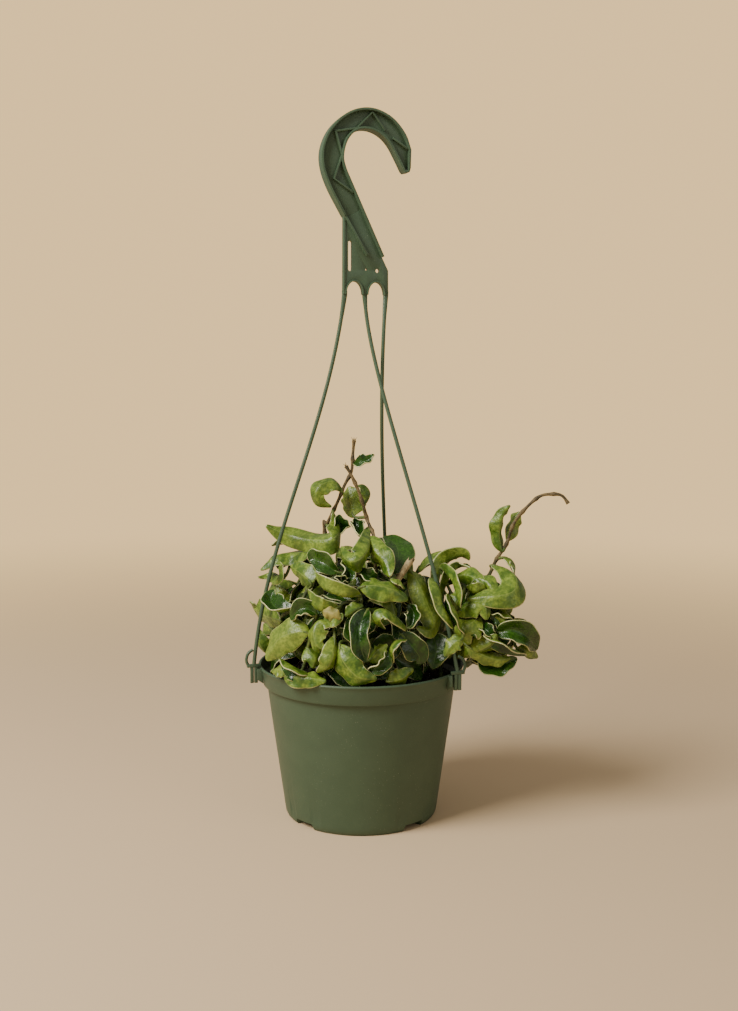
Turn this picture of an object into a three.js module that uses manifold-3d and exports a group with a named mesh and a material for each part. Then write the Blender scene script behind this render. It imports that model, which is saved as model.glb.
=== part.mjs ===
// Hindu rope hoya in a green plastic hanging pot, with the pot's hook hanger.
// Millimetres, +Z up, -Y is the front. The origin is on the pot's axis, at the
// surface that the pot stands on.
import * as THREE from "three";
import { mergeVertices } from "three/addons/utils/BufferGeometryUtils.js";
import Module from "manifold-3d";

const wasm = await Module();
wasm.setup();

// Driving dimensions

const GAP = 0.3;
const TIDY = 0.1;
const SAME_POINT = 1e-3;
const ROUND = 32;

const POT_HEIGHT = 116;
const RIM_RADIUS = 77.5;
const RIM_BAND = 15;
const NECK_RADIUS = 70.8;
const BASE_RADIUS = 58.4;
const FOOT_OUTER = 55.5;
const FOOT_INNER = 49;
const WALL = 1.6;
const FLOOR_UNDERSIDE = 4;
const PAD_RADIUS = 16;

const NOTCH_ANGLES = [-137, -47, 43, 133];
const NOTCH_WIDTH = 18;
const NOTCH_HEIGHT = 4.5;
const RECESS_WIDTH = 7.5;
const RECESS_HEIGHT = 8;
const RECESS_DEPTH = 0.8;
const DRAIN_RADIUS = 4;
const DRAIN_CIRCLE = 34;
const DRAIN_COUNT = 6;

const LUG_ANGLES = { left: 195, right: 329, back: 75 };
const LUG_REACH = 80.4;
const CHEEK_THICK = 1.8;
const CHEEK_OFFSET = 4.6;

const SOIL_EDGE = 103.5;
const SOIL_RISE = 3;
const ROOT_BOTTOM = 80;

const HANGER_YAW = 17;
const HOOK_DEPTH = 10;
const HOOK_WALL = 1.8;
const HOOK_WEB = 2;
const BRACE_WIDTH = 1.6;
const PLATE_THICK = 3.4;
const PLATE_BOTTOM = 390;
const WIRE_WIDTH = 3.4;
const WIRE_THICK = 3.1;
const WIRE_STEPS = 16;
const WIRE_SIDES = 4;
const WIRE_END = 82;
const CROSSBAR_LENGTH = 10.5;
const CROSSBAR_SIZE = 2.4;
const PRONG_WIDTH = 2;
const PRONG_GAP = 1;
const PRONG_LENGTH = 13;
const LOOP_HEIGHT = 11;
const LOOP_REACH = 5.6;

const STEM_RADIUS = 2;
const STEM_STEP = 14;
const STEM_SIDES = 4;
const LEAF_THICK = 1.8;
const STALK_HALF_WIDTH = 1.5;
const STALK_LENGTH = 4;

const COLOURS = { pot: 0x59623f, hanger: 0x4d5c40, soil: 0x2a201a, plant: 0x7d9440 };

// Small helpers

const rad = THREE.MathUtils.degToRad;
const vec = (x, y, z) => new THREE.Vector3(x, y, z);
const across = (angle) => vec(Math.cos(rad(angle)), Math.sin(rad(angle)), 0);

function solidOf(geometry) {
  const plain = new THREE.BufferGeometry();
  plain.setAttribute("position", geometry.getAttribute("position").clone());
  if (geometry.index) plain.setIndex(geometry.index.clone());
  const merged = mergeVertices(plain, SAME_POINT);
  const corners = [];
  const index = merged.index.array;
  for (let i = 0; i < index.length; i += 3) {
    const [a, b, c] = [index[i], index[i + 1], index[i + 2]];
    if (a !== b && b !== c && a !== c) corners.push(a, b, c);
  }
  return new wasm.Manifold(new wasm.Mesh({
    numProp: 3,
    vertProperties: new Float32Array(merged.getAttribute("position").array),
    triVerts: new Uint32Array(corners),
  }));
}

function geometryOf(solid) {
  const mesh = solid.getMesh();
  const geometry = new THREE.BufferGeometry();
  geometry.setAttribute("position", new THREE.BufferAttribute(mesh.vertProperties, 3));
  geometry.setIndex(new THREE.BufferAttribute(mesh.triVerts, 1));
  return geometry;
}

const joined = (solids) => solids.reduce((sum, solid) => sum.add(solid));

function largestBody(solid) {
  const bodies = solid.decompose();
  return bodies.reduce((best, body) => (body.volume() > best.volume() ? body : best));
}

// A box with its middle at a point, turned about +Z
function block(width, depth, height, middle, turn = 0) {
  const geometry = new THREE.BoxGeometry(width, depth, height);
  geometry.rotateZ(rad(turn));
  geometry.translate(middle.x, middle.y, middle.z);
  return solidOf(geometry);
}

function post(radius, bottom, top, x, y, sides) {
  const geometry = new THREE.CylinderGeometry(radius, radius, top - bottom, sides);
  geometry.rotateX(Math.PI / 2);
  geometry.translate(x, y, (top + bottom) / 2);
  return solidOf(geometry);
}

// A profile of [radius, height] points, turned about the Z axis
function turned(profile, segments) {
  const points = profile.map(([r, z]) => new THREE.Vector2(r, z));
  const geometry = new THREE.LatheGeometry([...points, points[0]], segments);
  geometry.rotateX(Math.PI / 2);
  return solidOf(geometry);
}

// A smooth route through points, at a fraction t of its spans
function onRoute(points, t) {
  const spans = points.length - 1;
  const span = Math.min(Math.floor(t * spans), spans - 1);
  const s = t * spans - span;
  const at = (i) => {
    if (i < 0) return points[0].clone().multiplyScalar(2).sub(points[1]);
    if (i > spans) return points[spans].clone().multiplyScalar(2).sub(points[spans - 1]);
    return points[i];
  };
  const [a, b, c, d] = [at(span - 1), at(span), at(span + 1), at(span + 2)];
  const weights = [
    -0.5 * s + s * s - 0.5 * s * s * s,
    1 - 2.5 * s * s + 1.5 * s * s * s,
    0.5 * s + 2 * s * s - 1.5 * s * s * s,
    -0.5 * s * s + 0.5 * s * s * s,
  ];
  return vec(0, 0, 0)
    .addScaledVector(a, weights[0])
    .addScaledVector(b, weights[1])
    .addScaledVector(c, weights[2])
    .addScaledVector(d, weights[3]);
}

class Route extends THREE.Curve {
  constructor(points) {
    super();
    this.points = points;
  }

  getPoint(t, target = vec(0, 0, 0)) {
    return target.copy(onRoute(this.points, t));
  }
}

// A rod of a flat section with the given number of sides, along a curve
function rod(curve, width, thick, sides, steps) {
  const corners = Array.from({ length: sides }, (_, i) => {
    const angle = ((i + 0.5) / sides) * 2 * Math.PI;
    return new THREE.Vector2((width / 2) * Math.cos(angle), (thick / 2) * Math.sin(angle));
  });
  const section = new THREE.Shape(corners);
  return solidOf(new THREE.ExtrudeGeometry(section, { extrudePath: curve, steps }));
}

// Pot

function makePot() {
  const floor = FLOOR_UNDERSIDE + WALL;
  const bandFoot = POT_HEIGHT - RIM_BAND;
  const shell = turned([
    [0, 0],
    [PAD_RADIUS, 0],
    [PAD_RADIUS + 2, FLOOR_UNDERSIDE],
    [FOOT_INNER, FLOOR_UNDERSIDE],
    [FOOT_INNER + 1, 0],
    [FOOT_OUTER, 0],
    [FOOT_OUTER + 2, 3],
    [BASE_RADIUS, 9],
    [NECK_RADIUS, bandFoot - 0.6],
    [NECK_RADIUS + 1.9, bandFoot],
    [RIM_RADIUS - 1.2, POT_HEIGHT - 10],
    [RIM_RADIUS - 0.1, POT_HEIGHT - 1.6],
    [RIM_RADIUS - 0.8, POT_HEIGHT],
    [RIM_RADIUS - 2.2, POT_HEIGHT - 0.4],
    [RIM_RADIUS - 2.9, POT_HEIGHT - 10],
    [NECK_RADIUS - WALL, bandFoot - 1.4],
    [BASE_RADIUS - WALL, 10],
    [FOOT_OUTER - 1.5, floor],
    [PAD_RADIUS + 1, floor],
    [PAD_RADIUS - 1, WALL],
    [0, WALL],
  ], ROUND);

  const cheeks = Object.values(LUG_ANGLES).flatMap((angle) =>
    [-1, 1].map((side) => cheek(angle, side * CHEEK_OFFSET)));

  const cuts = NOTCH_ANGLES.flatMap((angle) => [
    block(20, NOTCH_WIDTH, 2 * NOTCH_HEIGHT, across(angle).multiplyScalar(BASE_RADIUS), angle),
    footRecess(angle, -1),
    footRecess(angle, 1),
  ]);
  for (let i = 0; i < DRAIN_COUNT; i += 1) {
    const place = across((i + 0.5) * (360 / DRAIN_COUNT)).multiplyScalar(DRAIN_CIRCLE);
    cuts.push(post(DRAIN_RADIUS, -1, floor + 1, place.x, place.y, 8));
  }
  return joined([shell, ...cheeks]).subtract(joined(cuts));
}

// One of the pair of cheeks on the rim that a wire's prongs hang between
function cheek(angle, offset) {
  const rim = RIM_RADIUS - 2;
  const side = new THREE.Shape([
    new THREE.Vector2(rim, POT_HEIGHT),
    new THREE.Vector2(rim, POT_HEIGHT - 11),
    new THREE.Vector2(LUG_REACH, POT_HEIGHT - 8),
    new THREE.Vector2(LUG_REACH, POT_HEIGHT),
  ]);
  const geometry = new THREE.ExtrudeGeometry(side, { depth: CHEEK_THICK, bevelEnabled: false });
  geometry.rotateX(Math.PI / 2);
  geometry.translate(0, offset + CHEEK_THICK / 2, 0);
  geometry.rotateZ(rad(angle));
  return solidOf(geometry);
}

function footRecess(notchAngle, side) {
  const swing = ((NOTCH_WIDTH + RECESS_WIDTH) / 2 / BASE_RADIUS) * (180 / Math.PI);
  const angle = notchAngle + side * swing;
  const place = across(angle).multiplyScalar(BASE_RADIUS + 4 - RECESS_DEPTH);
  return block(8, RECESS_WIDTH, 2 * RECESS_HEIGHT, place, angle);
}

// Soil

const soilTop = (x, y) => {
  const crown = SOIL_RISE * (1 - (x * x + y * y) / (RIM_RADIUS * RIM_RADIUS));
  return SOIL_EDGE + crown + 0.9 * Math.sin(0.35 * x + 1) * Math.cos(0.31 * y);
};

function makeSoil(roots) {
  const floor = FLOOR_UNDERSIDE + WALL + GAP;
  const wall = WALL + GAP + 0.1;
  const upper = NECK_RADIUS - wall;
  const profile = [
    [0, floor],
    [FOOT_OUTER - 2.2, floor],
    [BASE_RADIUS - wall, 11],
    [upper, POT_HEIGHT - RIM_BAND - 1.4],
    [upper + 1.4, SOIL_EDGE],
  ];
  const rings = [46, 23, 0].map((r) => [r, SOIL_EDGE]);
  const points = [...profile, ...rings].map(([r, z]) => new THREE.Vector2(r, z));
  const geometry = new THREE.LatheGeometry(points, ROUND);
  geometry.rotateX(Math.PI / 2);
  const spots = geometry.getAttribute("position");
  for (let i = 0; i < spots.count; i += 1) {
    const inside = Math.hypot(spots.getX(i), spots.getY(i)) < upper;
    if (inside && spots.getZ(i) > SOIL_EDGE - 1) {
      spots.setZ(i, soilTop(spots.getX(i), spots.getY(i)));
    }
  }
  const holes = roots.map(([x, y]) =>
    post(STEM_RADIUS + 2 * GAP, ROOT_BOTTOM - 2 * GAP, POT_HEIGHT, x, y, 5));
  return solidOf(geometry).subtract(joined(holes));
}

// Hanger: a hook and plate in one upright plane, and three wires

// Hook outlines as [u, z], where u runs across the hook in its own plane
const HOOK_OUTER = [
  [37.3, 494.8], [33.1, 505.5], [24.5, 515.6], [14, 521.3], [3.5, 522.8], [-7.5, 520.2],
  [-17.6, 513.6], [-25.6, 504], [-30.1, 491.4], [-29.4, 478.8], [-24.2, 464.9], [-13.4, 445.7],
];
const HOOK_INNER = [
  [31.2, 479.6], [26.5, 488.5], [21.3, 497.3], [15.6, 503.2], [8.6, 506.8], [1, 507.6],
  [-5.6, 505.2], [-11, 498.6], [-13.6, 488.5], [-12.2, 480.4], [-7.1, 468.9], [-1.9, 457.8],
];
const BRACE_LINES = [
  [[35.5, 496.1], [23.9, 503.1]],
  [[18.3, 508], [8.1, 520.7], [-4.1, 508.7], [-20.6, 505.9]],
  [[-20.6, 505.9], [-15.4, 488.9], [-21.5, 471.6], [-6.9, 462.1]],
];
const RIB_FOOT = [3.4, 417.9];
const PLATE_LEFT = -13.7;
const PLATE_RIGHT = 20.7;
const PLATE_RIGHT_TOP = 407.6;
const SHANK_FOOT = [16.8, 417.7];
const ARCHES = [[-5.2, 6.2, 399.5], [11.4, 6.1, 399]];
const SLOT = { u: -8.5, width: 2.9, bottom: 406.8, top: 428.6 };
const PIN_HOLES = [[3.9, 408.1, 0.8], [12.4, 407.4, 1.5]];
const WIRE_STARTS = { left: -12.3, right: 3.1, back: 19.2 };

const flat = ([u, z]) => new THREE.Vector2(u, z);

function smoothLine(points, steps) {
  const route = new THREE.SplineCurve(points.map(flat));
  return route.getSpacedPoints(steps);
}

// Stands a shape drawn in u and z up in the hanger's plane, centred through its depth
function upright(shape, depth) {
  const geometry = new THREE.ExtrudeGeometry(shape, { depth, bevelEnabled: false, curveSegments: 5 });
  geometry.translate(0, 0, -depth / 2);
  geometry.rotateX(Math.PI / 2);
  geometry.rotateZ(rad(HANGER_YAW));
  return solidOf(geometry);
}

// A line of points moved to its left
function shifted(line, distance) {
  return line.map((point, i) => {
    const before = line[Math.max(i - 1, 0)];
    const after = line[Math.min(i + 1, line.length - 1)];
    const along = after.clone().sub(before).normalize();
    return new THREE.Vector2(point.x - along.y * distance, point.y + along.x * distance);
  });
}

const strip = (line, width) => new THREE.Shape([...line, ...shifted(line, width).reverse()]);

function makeHook() {
  const outer = smoothLine(HOOK_OUTER, 15);
  const inner = smoothLine(HOOK_INNER, 12).reverse();
  const tip = [flat([32.7, 478.2]), flat([36.1, 478.9]), flat([36.9, 481.8])];
  const inset = HOOK_WALL / 2;
  const shoulder = HOOK_OUTER[HOOK_OUTER.length - 1];
  const web = new THREE.Shape([
    ...shifted(outer, inset),
    flat([RIB_FOOT[0], SHANK_FOOT[1] + 4]),
    flat([SHANK_FOOT[0] - 2, SHANK_FOOT[1] + 2]),
    ...shifted(inner, inset),
    flat([34.5, 481]),
  ]);
  const plate = new THREE.Shape([
    flat([PLATE_LEFT + 1, shoulder[1] - 1.5]),
    flat([PLATE_LEFT, PLATE_BOTTOM]),
    flat([PLATE_RIGHT, PLATE_BOTTOM]),
    flat([PLATE_RIGHT - 0.1, PLATE_RIGHT_TOP]),
    flat([16, 416.9]),
    flat([0, 451]),
  ]);
  plate.holes.push(slotPath());
  PIN_HOLES.forEach(([u, z, r]) =>
    plate.holes.push(new THREE.Path().absellipse(u, z, r, r, 0, 2 * Math.PI, true, 0)));

  const border = [...inner, ...tip, ...outer];
  const leftEdge = [flat(shoulder), flat([PLATE_LEFT, PLATE_BOTTOM])];
  const walls = [
    upright(strip([flat(SHANK_FOOT), ...border], HOOK_WALL), HOOK_DEPTH),
    upright(strip([flat(shoulder), flat(RIB_FOOT)], HOOK_WALL), PLATE_THICK + 4),
    upright(strip(leftEdge, BRACE_WIDTH), PLATE_THICK + 1.4),
  ];
  const braces = BRACE_LINES.map((line) => upright(strip(line.map(flat), BRACE_WIDTH), HOOK_DEPTH - 2));
  const arches = ARCHES.map(([u, halfWidth, top]) => upright(archShape(u, halfWidth, top), 20));
  return joined([upright(web, HOOK_WEB), upright(plate, PLATE_THICK), ...walls, ...braces])
    .subtract(joined(arches));
}

function slotPath() {
  const half = SLOT.width / 2;
  return new THREE.Path()
    .absarc(SLOT.u, SLOT.bottom + half, half, Math.PI, 2 * Math.PI, false)
    .absarc(SLOT.u, SLOT.top - half, half, 0, Math.PI, false)
    .closePath();
}

function archShape(u, halfWidth, top) {
  return new THREE.Shape()
    .moveTo(u - halfWidth, PLATE_BOTTOM - 5)
    .lineTo(u + halfWidth, PLATE_BOTTOM - 5)
    .absellipse(u, PLATE_BOTTOM, halfWidth, top - PLATE_BOTTOM, 0, Math.PI, false, 0);
}

// How each wire leaves the plate and comes down to its lug
const WIRE_BENDS = {
  left: { drop: 105, outTop: 14, rise: 99, inFoot: 10 },
  right: { drop: 56, outTop: 2, rise: 105, inFoot: 24 },
  back: { drop: 109, outTop: -28, rise: 92, inFoot: 3 },
};

function wireCurve(name) {
  const bend = WIRE_BENDS[name];
  const out = across(LUG_ANGLES[name]);
  const start = across(HANGER_YAW).multiplyScalar(WIRE_STARTS[name]);
  start.z = PLATE_BOTTOM - GAP;
  const foot = out.clone().multiplyScalar(WIRE_END);
  foot.z = POT_HEIGHT + GAP + CROSSBAR_SIZE / 2;
  const upperPull = start.clone().addScaledVector(out, bend.outTop);
  upperPull.z -= bend.drop;
  const lowerPull = foot.clone().addScaledVector(out, -bend.inFoot);
  lowerPull.z += bend.rise;
  return new THREE.CubicBezierCurve3(start, upperPull, lowerPull, foot);
}

function makeWire(name) {
  const foot = wireCurve(name).getPoint(1);
  const bar = across(HANGER_YAW);
  const outward = bar.dot(across(LUG_ANGLES[name])) < 0 ? -1 : 1;
  const prongStep = (PRONG_WIDTH + PRONG_GAP) / 2;
  const prongs = [-1, 1].map((side) => {
    const place = foot.clone().addScaledVector(bar, side * prongStep);
    place.z -= (PRONG_LENGTH + side * outward) / 2;
    return block(PRONG_WIDTH, CROSSBAR_SIZE - 0.4, PRONG_LENGTH - side * outward, place, HANGER_YAW);
  });
  const crossbar = block(CROSSBAR_LENGTH, CROSSBAR_SIZE, CROSSBAR_SIZE, foot, HANGER_YAW);
  const loopSpots = [[0.75, 0], [1, 0.4], [0.75, 0.85], [0.1, 1.1]];
  const loop = new Route(loopSpots.map(([reach, height]) =>
    foot.clone().addScaledVector(bar, outward * reach * LOOP_REACH)
      .add(vec(0, 0, height * LOOP_HEIGHT))));
  return joined([
    rod(wireCurve(name), WIRE_WIDTH, WIRE_THICK, WIRE_SIDES, WIRE_STEPS),
    crossbar,
    ...prongs,
    rod(loop, 1.9, 1.9, 4, 7),
  ]);
}

// Leaves. A leaf is a thick blade on a short stalk: its spine is a route through
// points, and its two halves fold up and curl in towards the upper face.

const BLADE_COLUMNS = [-1, 0, 1];
const BLADE_ROWS = {
  short: [0, 0.3, 0.66, 1],
  middling: [0, 0.24, 0.5, 0.78, 1],
  long: [0, 0.2, 0.4, 0.6, 0.82, 1],
};

function bladeRows(leaf) {
  if (leaf.spine.length > 6) return BLADE_ROWS.long;
  return leaf.spine.length > 5 ? BLADE_ROWS.middling : BLADE_ROWS.short;
}

// Half the blade's width at a fraction of its length, as a share of its widest
const bladeShape = (s) => Math.sin(Math.PI * s ** 0.8) ** 0.75;

// The blade's middle surface: rows of points with their upward directions
function bladeSurface(leaf, rows, columns, spread) {
  const step = 0.01;
  const spans = leaf.spine.length - 1;
  let face = leaf.face.clone();
  return rows.map((s) => {
    const t = (1 + s * (spans - 1)) / spans;
    const here = onRoute(leaf.spine, t);
    const ahead = onRoute(leaf.spine, Math.min(t + step, 1));
    const along = ahead.sub(onRoute(leaf.spine, Math.max(t - step, 0))).normalize();
    face = face.clone().addScaledVector(along, -face.dot(along)).normalize();
    const up = face.clone().applyAxisAngle(along, rad(leaf.twist) * (s - 0.5));
    const side = up.clone().cross(along);
    const width = Math.max(leaf.halfWidth * bladeShape(s), s < 0.5 ? STALK_HALF_WIDTH : 0);
    const curl = rad(leaf.curl) / leaf.halfWidth;
    const fold = rad(leaf.fold);
    return columns.map((v) => {
      const angle = fold + curl * Math.abs(v) * width;
      const reach = (Math.sin(angle) - Math.sin(fold)) / curl;
      const rise = (Math.cos(fold) - Math.cos(angle)) / curl;
      const lean = Math.sign(v) * angle;
      const normal = up.clone().multiplyScalar(Math.cos(lean)).addScaledVector(side, -Math.sin(lean));
      const edgeward = side.clone().multiplyScalar(Math.cos(lean)).addScaledVector(up, Math.sin(lean));
      const point = here.clone().addScaledVector(side, Math.sign(v) * reach).addScaledVector(up, rise);
      return { point: point.addScaledVector(edgeward, v * spread), up: normal };
    });
  });
}

// The two edges of the stalk where it leaves the stem's axis, turned as little as
// may be against the two edges that the blade starts with
function stalkRoot(leaf, [left, right], spread) {
  const [root, base] = leaf.spine;
  const along = base.clone().sub(root).normalize();
  const start = right.point.clone().sub(left.point).normalize();
  const level = Math.abs(start.dot(along)) < 0.8 ? start : along.clone().cross(left.up).negate();
  const side = level.addScaledVector(along, -level.dot(along)).normalize();
  const up = along.clone().cross(side);
  return [-1, 1].map((end) => {
    const reach = end * (STALK_HALF_WIDTH + spread);
    return { point: root.clone().addScaledVector(side, reach), up };
  });
}

// A closed blade with a pointed tip, from the stem's axis to the leaf's tip
function bladeSolid(leaf, spread = 0) {
  const surface = bladeSurface(leaf, bladeRows(leaf), BLADE_COLUMNS, spread);
  const half = LEAF_THICK / 2 + spread;
  const last = surface.length - 1;
  const [tip] = bladeSurface(leaf, [1], [0], spread)[0];
  const [[left, , right], ...blade] = surface.slice(0, last);
  const rows = [stalkRoot(leaf, [left, right], spread), [left, right], ...blade, [tip]];
  const corners = [];
  const ids = rows.map((row) => row.map(({ point, up }) => {
    corners.push(point.clone().addScaledVector(up, half), point.clone().addScaledVector(up, -half));
    return corners.length - 2;
  }));
  const faces = [];
  const id = (i, j) => ids[i][Math.floor((j * ids[i].length) / BLADE_COLUMNS.length)];
  const triangle = (a, b, c) => {
    if (a !== b && b !== c && a !== c) faces.push(a, b, c);
  };
  const edge = BLADE_COLUMNS.length - 1;
  for (let i = 0; i < rows.length - 1; i += 1) {
    for (let j = 0; j < edge; j += 1) {
      const [a, b, c, d] = [id(i, j), id(i + 1, j), id(i + 1, j + 1), id(i, j + 1)];
      triangle(a, b, c);
      triangle(a, c, d);
      triangle(a + 1, c + 1, b + 1);
      triangle(a + 1, d + 1, c + 1);
    }
    for (const j of [0, edge]) {
      const [a, b] = j === 0 ? [id(i, j), id(i + 1, j)] : [id(i + 1, j), id(i, j)];
      triangle(a, a + 1, b + 1);
      triangle(a, b + 1, b);
    }
  }
  const [a, b] = ids[0];
  triangle(a, b, b + 1);
  triangle(a, b + 1, a + 1);
  const geometry = new THREE.BufferGeometry();
  const spots = corners.flatMap((corner) => corner.toArray());
  geometry.setAttribute("position", new THREE.Float32BufferAttribute(spots, 3));
  geometry.setIndex(faces);
  return solidOf(geometry);
}

// Vines. The points of the leaves that show in front are given as they look from
// EYE: x and z on the upright plane through the pot's axis, and how far out of the
// mound's surface, towards EYE, the point lies.

const EYE = vec(6, -916, 338);
const MAIN_MOUND = { middle: vec(-6, 0, 112), size: vec(76, 70, 104) };
const SIDE_MOUND = { middle: vec(95, -6, 150), size: vec(46, 34, 42) };

function seen([x, z, out], mound) {
  const ray = vec(x, 0, z).sub(EYE);
  const from = EYE.clone().sub(mound.middle).divide(mound.size);
  const step = ray.clone().divide(mound.size);
  const a = step.dot(step);
  const b = from.dot(step);
  const missed = b * b - a * (from.dot(from) - 1);
  const t = (-b - Math.sqrt(Math.max(missed, 0))) / a;
  return EYE.clone().addScaledVector(ray, t - out / ray.length());
}

// Each leaf: its spine, half its width, how far its upper face turns from the viewer
// about the spine, the fold at its midrib and the curl of each half, in degrees
const FRONT_VINES = [
  {
    name: "vine_front_centre",
    mound: MAIN_MOUND,
    root: [8, -38],
    stem: [
      [7, 112, -8], [-10, 128, -8], [-4, 148, -6],
      [8, 154, -6], [22, 148, -8], [34, 140, -4],
    ],
    leaves: [
      [[
        [34, 140, 1], [28, 149, 8], [19, 156, 10],
        [11, 154, 9], [10, 146, 7], [19, 140, 4],
      ], 10.5, -125, 25, 45],
      [[[36, 141, 0], [40, 152, 2], [36, 160, 2]], 8, -30, 35, 70],
      [[[5, 155, 2], [-1, 142, 7], [0, 126, 8], [4, 114, 6]], 9, 10, 28, 50],
      [[[-3, 150, -2], [-8, 139, 2], [-4, 127, 2]], 5.5, 20, 30, 55],
      [[[6, 116, 0], [13, 124, 5], [20, 129, 4]], 6.5, 150, 25, 55],
      [[[6, 109, 2], [16, 114, 6], [20, 124, 4]], 7, 20, 35, 60],
      [[[-16, 129, 0], [-13, 115, 7], [-2, 103, 9], [13, 102, 6]], 11.5, -150, 22, 40],
    ],
  },
  {
    name: "vine_front_left",
    mound: MAIN_MOUND,
    root: [-26, -38],
    stem: [[-30, 112, -10], [-39, 126, -6], [-33, 150, -4], [-20, 147, -3], [-16, 136, -3]],
    leaves: [
      [[[-19, 145, 0], [-31, 148, 5], [-36, 139, 8], [-34, 128, 8], [-26, 124, 5]], 10.5, -110, 28, 50],
      [[[-20, 135, 0], [-21, 121, 6], [-26, 110, 7], [-34, 107, 4]], 9, 140, 25, 45],
      [[[-41, 126, -2], [-35, 118, 2], [-37, 110, 2]], 8.5, 165, 20, 45],
      [[[-34, 152, 0], [-44, 156, 5], [-53, 147, 4]], 8.5, 20, 30, 60],
      [[[-27, 152, 2], [-21, 149, 7], [-13, 152, 5]], 6.5, 170, 20, 40],
    ],
  },
  {
    name: "vine_front_right",
    mound: MAIN_MOUND,
    root: [38, -34],
    stem: [[23, 103, -4], [30, 134, -2], [52, 138, -6]],
    leaves: [
      [[[33, 132, 0], [25, 131, 4], [21, 124, 5], [25, 114, 3]], 8.5, -60, 30, 60],
      [[[30, 137, 2], [38, 128, 6], [44, 119, 6], [43, 113, 4]], 9, -5, 12, 35],
      [[[53, 136, -4], [57, 124, 2], [54, 109, 0]], 10.5, 5, 15, 40],
      [[[20, 100, 4], [31, 102, 7], [40, 110, 5]], 8.5, -150, 25, 55],
    ],
  },
  {
    name: "vine_far_left",
    mound: MAIN_MOUND,
    root: [-48, -20],
    stem: [[-52, 106, -8], [-44, 110, -6], [-39, 134, -2]],
    leaves: [
      [[[-39, 136, 0], [-50, 138, 5], [-62, 133, 6], [-68, 124, 5], [-72, 116, 4]], 13, -140, 18, 40],
      [[[-41, 106, 0], [-51, 111, 5], [-62, 118, 4]], 10, -30, 35, 60],
      [[[-55, 108, 2], [-62, 110, 5], [-68, 108, 4]], 6.5, -160, 22, 45],
      [[[-58, 104, 4], [-42, 103, 7], [-26, 100, 4]], 8, 160, 22, 45],
    ],
  },
  {
    name: "vine_centre",
    mound: MAIN_MOUND,
    root: [-8, -18],
    stem: [
      [-15, 157, -8], [0, 160, -4], [0, 168, -6],
      [10, 180, -6], [-6, 182, -8], [-17, 185, -8],
    ],
    leaves: [
      [[[-17, 184, -6], [-26, 190, -2], [-35, 194, 0], [-39, 192, 0]], 10, -10, 25, 60],
      [[[-12, 174, -4], [-11, 184, 0], [-14, 193, 0]], 8, 25, 35, 75],
      [[[-17, 179, -4], [-19, 179, 5], [-20, 180, 11]], 9, 0, 50, 105],
      [[[-1, 166, 2], [-12, 165, 8], [-25, 169, 10], [-32, 176, 9], [-34, 183, 6]], 10.5, 115, 28, 45],
      [[[11, 178, -3], [5, 181, -1], [-2, 186, -2]], 7, 15, 35, 70],
      [[[-17, 157, 0], [-29, 154, 4], [-37, 160, 5], [-40, 171, 3]], 10.5, 125, 25, 45],
      [[[1, 158, 0], [-6, 154, 4], [-12, 150, 3]], 6, 150, 25, 50],
      [[[-1, 172, 4], [10, 174, 8], [25, 170, 10], [36, 162, 8]], 11, 155, 22, 45],
    ],
  },
  {
    name: "vine_right_of_centre",
    mound: MAIN_MOUND,
    root: [30, -8],
    stem: [[52, 150, -12], [41, 176, -8], [26, 172, -6], [28, 182, 0], [39, 194, 6]],
    leaves: [
      [[[23, 182, 0], [28, 194, 2], [26, 205, 3], [16, 211, 0]], 12.5, -15, 10, 28],
      [[
        [36, 186, 2], [43, 176, 6], [50, 160, 8],
        [55, 147, 8], [52, 139, 8], [41, 142, 4],
      ], 10.5, 150, 22, 40],
      [[[56, 147, -6], [55, 163, -2], [51, 174, -1], [48, 181, -4]], 8.5, 35, 32, 60],
      [[[23, 179, 6], [29, 178, 8], [33, 171, 8]], 6, 60, 30, 60],
    ],
  },
  {
    name: "vine_top_right",
    mound: MAIN_MOUND,
    root: [12, 12],
    stem: [
      [11, 191, -6], [10, 210, 2], [5, 223, 6], [2, 234, 8], [-2, 246, 8], [-7, 257, 8],
      [-11, 264, 7],
    ],
    leaves: [
      [[[-5, 226, -2], [-7, 235, -4], [-8, 243, -6], [-9, 249, -10]], 11.5, 165, 12, 45],
      [[[2, 233, 2], [6, 238, 0], [7, 244, -2], [2, 250, -4], [-4, 249, -6]], 9, -110, 30, 50],
      [[[0, 211, 2], [-3, 216, 4], [-4, 221, 5], [-5, 225, 5]], 9, 30, 35, 75],
      [[
        [6, 218, 8], [7, 206, 12], [1, 195, 15],
        [-7, 192, 14], [-13, 196, 10], [-15, 204, 6],
      ], 10.5, 120, 30, 45],
      [[[6, 211, 8], [10, 201, 8], [18, 191, 8], [22, 180, 8]], 10, -150, 28, 50],
    ],
  },
  {
    name: "vine_top_left",
    mound: MAIN_MOUND,
    root: [-14, 12],
    stem: [
      [-27, 214, -8], [-25, 221, -2], [-17, 238, 2], [-12, 250, 4], [-7, 260, 5], [-6, 272, 4],
      [-5, 283, 4],
    ],
    leaves: [
      [[[-4, 267, 4], [0, 266, 8], [6, 268, 9], [10, 273, 8]], 6.5, -20, 35, 40],
      [[
        [-14, 245, 4], [-17, 251, 5], [-24, 253, 7], [-31, 249, 9],
        [-34, 242, 10], [-30, 236, 9], [-21, 233, 6],
      ], 9, -115, 30, 35],
      [[
        [-21, 229, 6], [-16, 219, 8], [-19, 210, 10], [-33, 208, 10],
        [-50, 211, 8], [-62, 215, 6], [-72, 220, 4],
      ], 11.5, 125, 25, 45],
      [[[-20, 211, 0], [-15, 216, 6], [-17, 223, 8], [-17, 228, 9]], 9, 20, 35, 70],
    ],
  },
  {
    name: "vine_left",
    mound: MAIN_MOUND,
    root: [-38, 4],
    stem: [[-60, 146, -22], [-48, 158, -12], [-38, 176, -8], [-38, 196, -6], [-60, 188, -8]],
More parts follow.
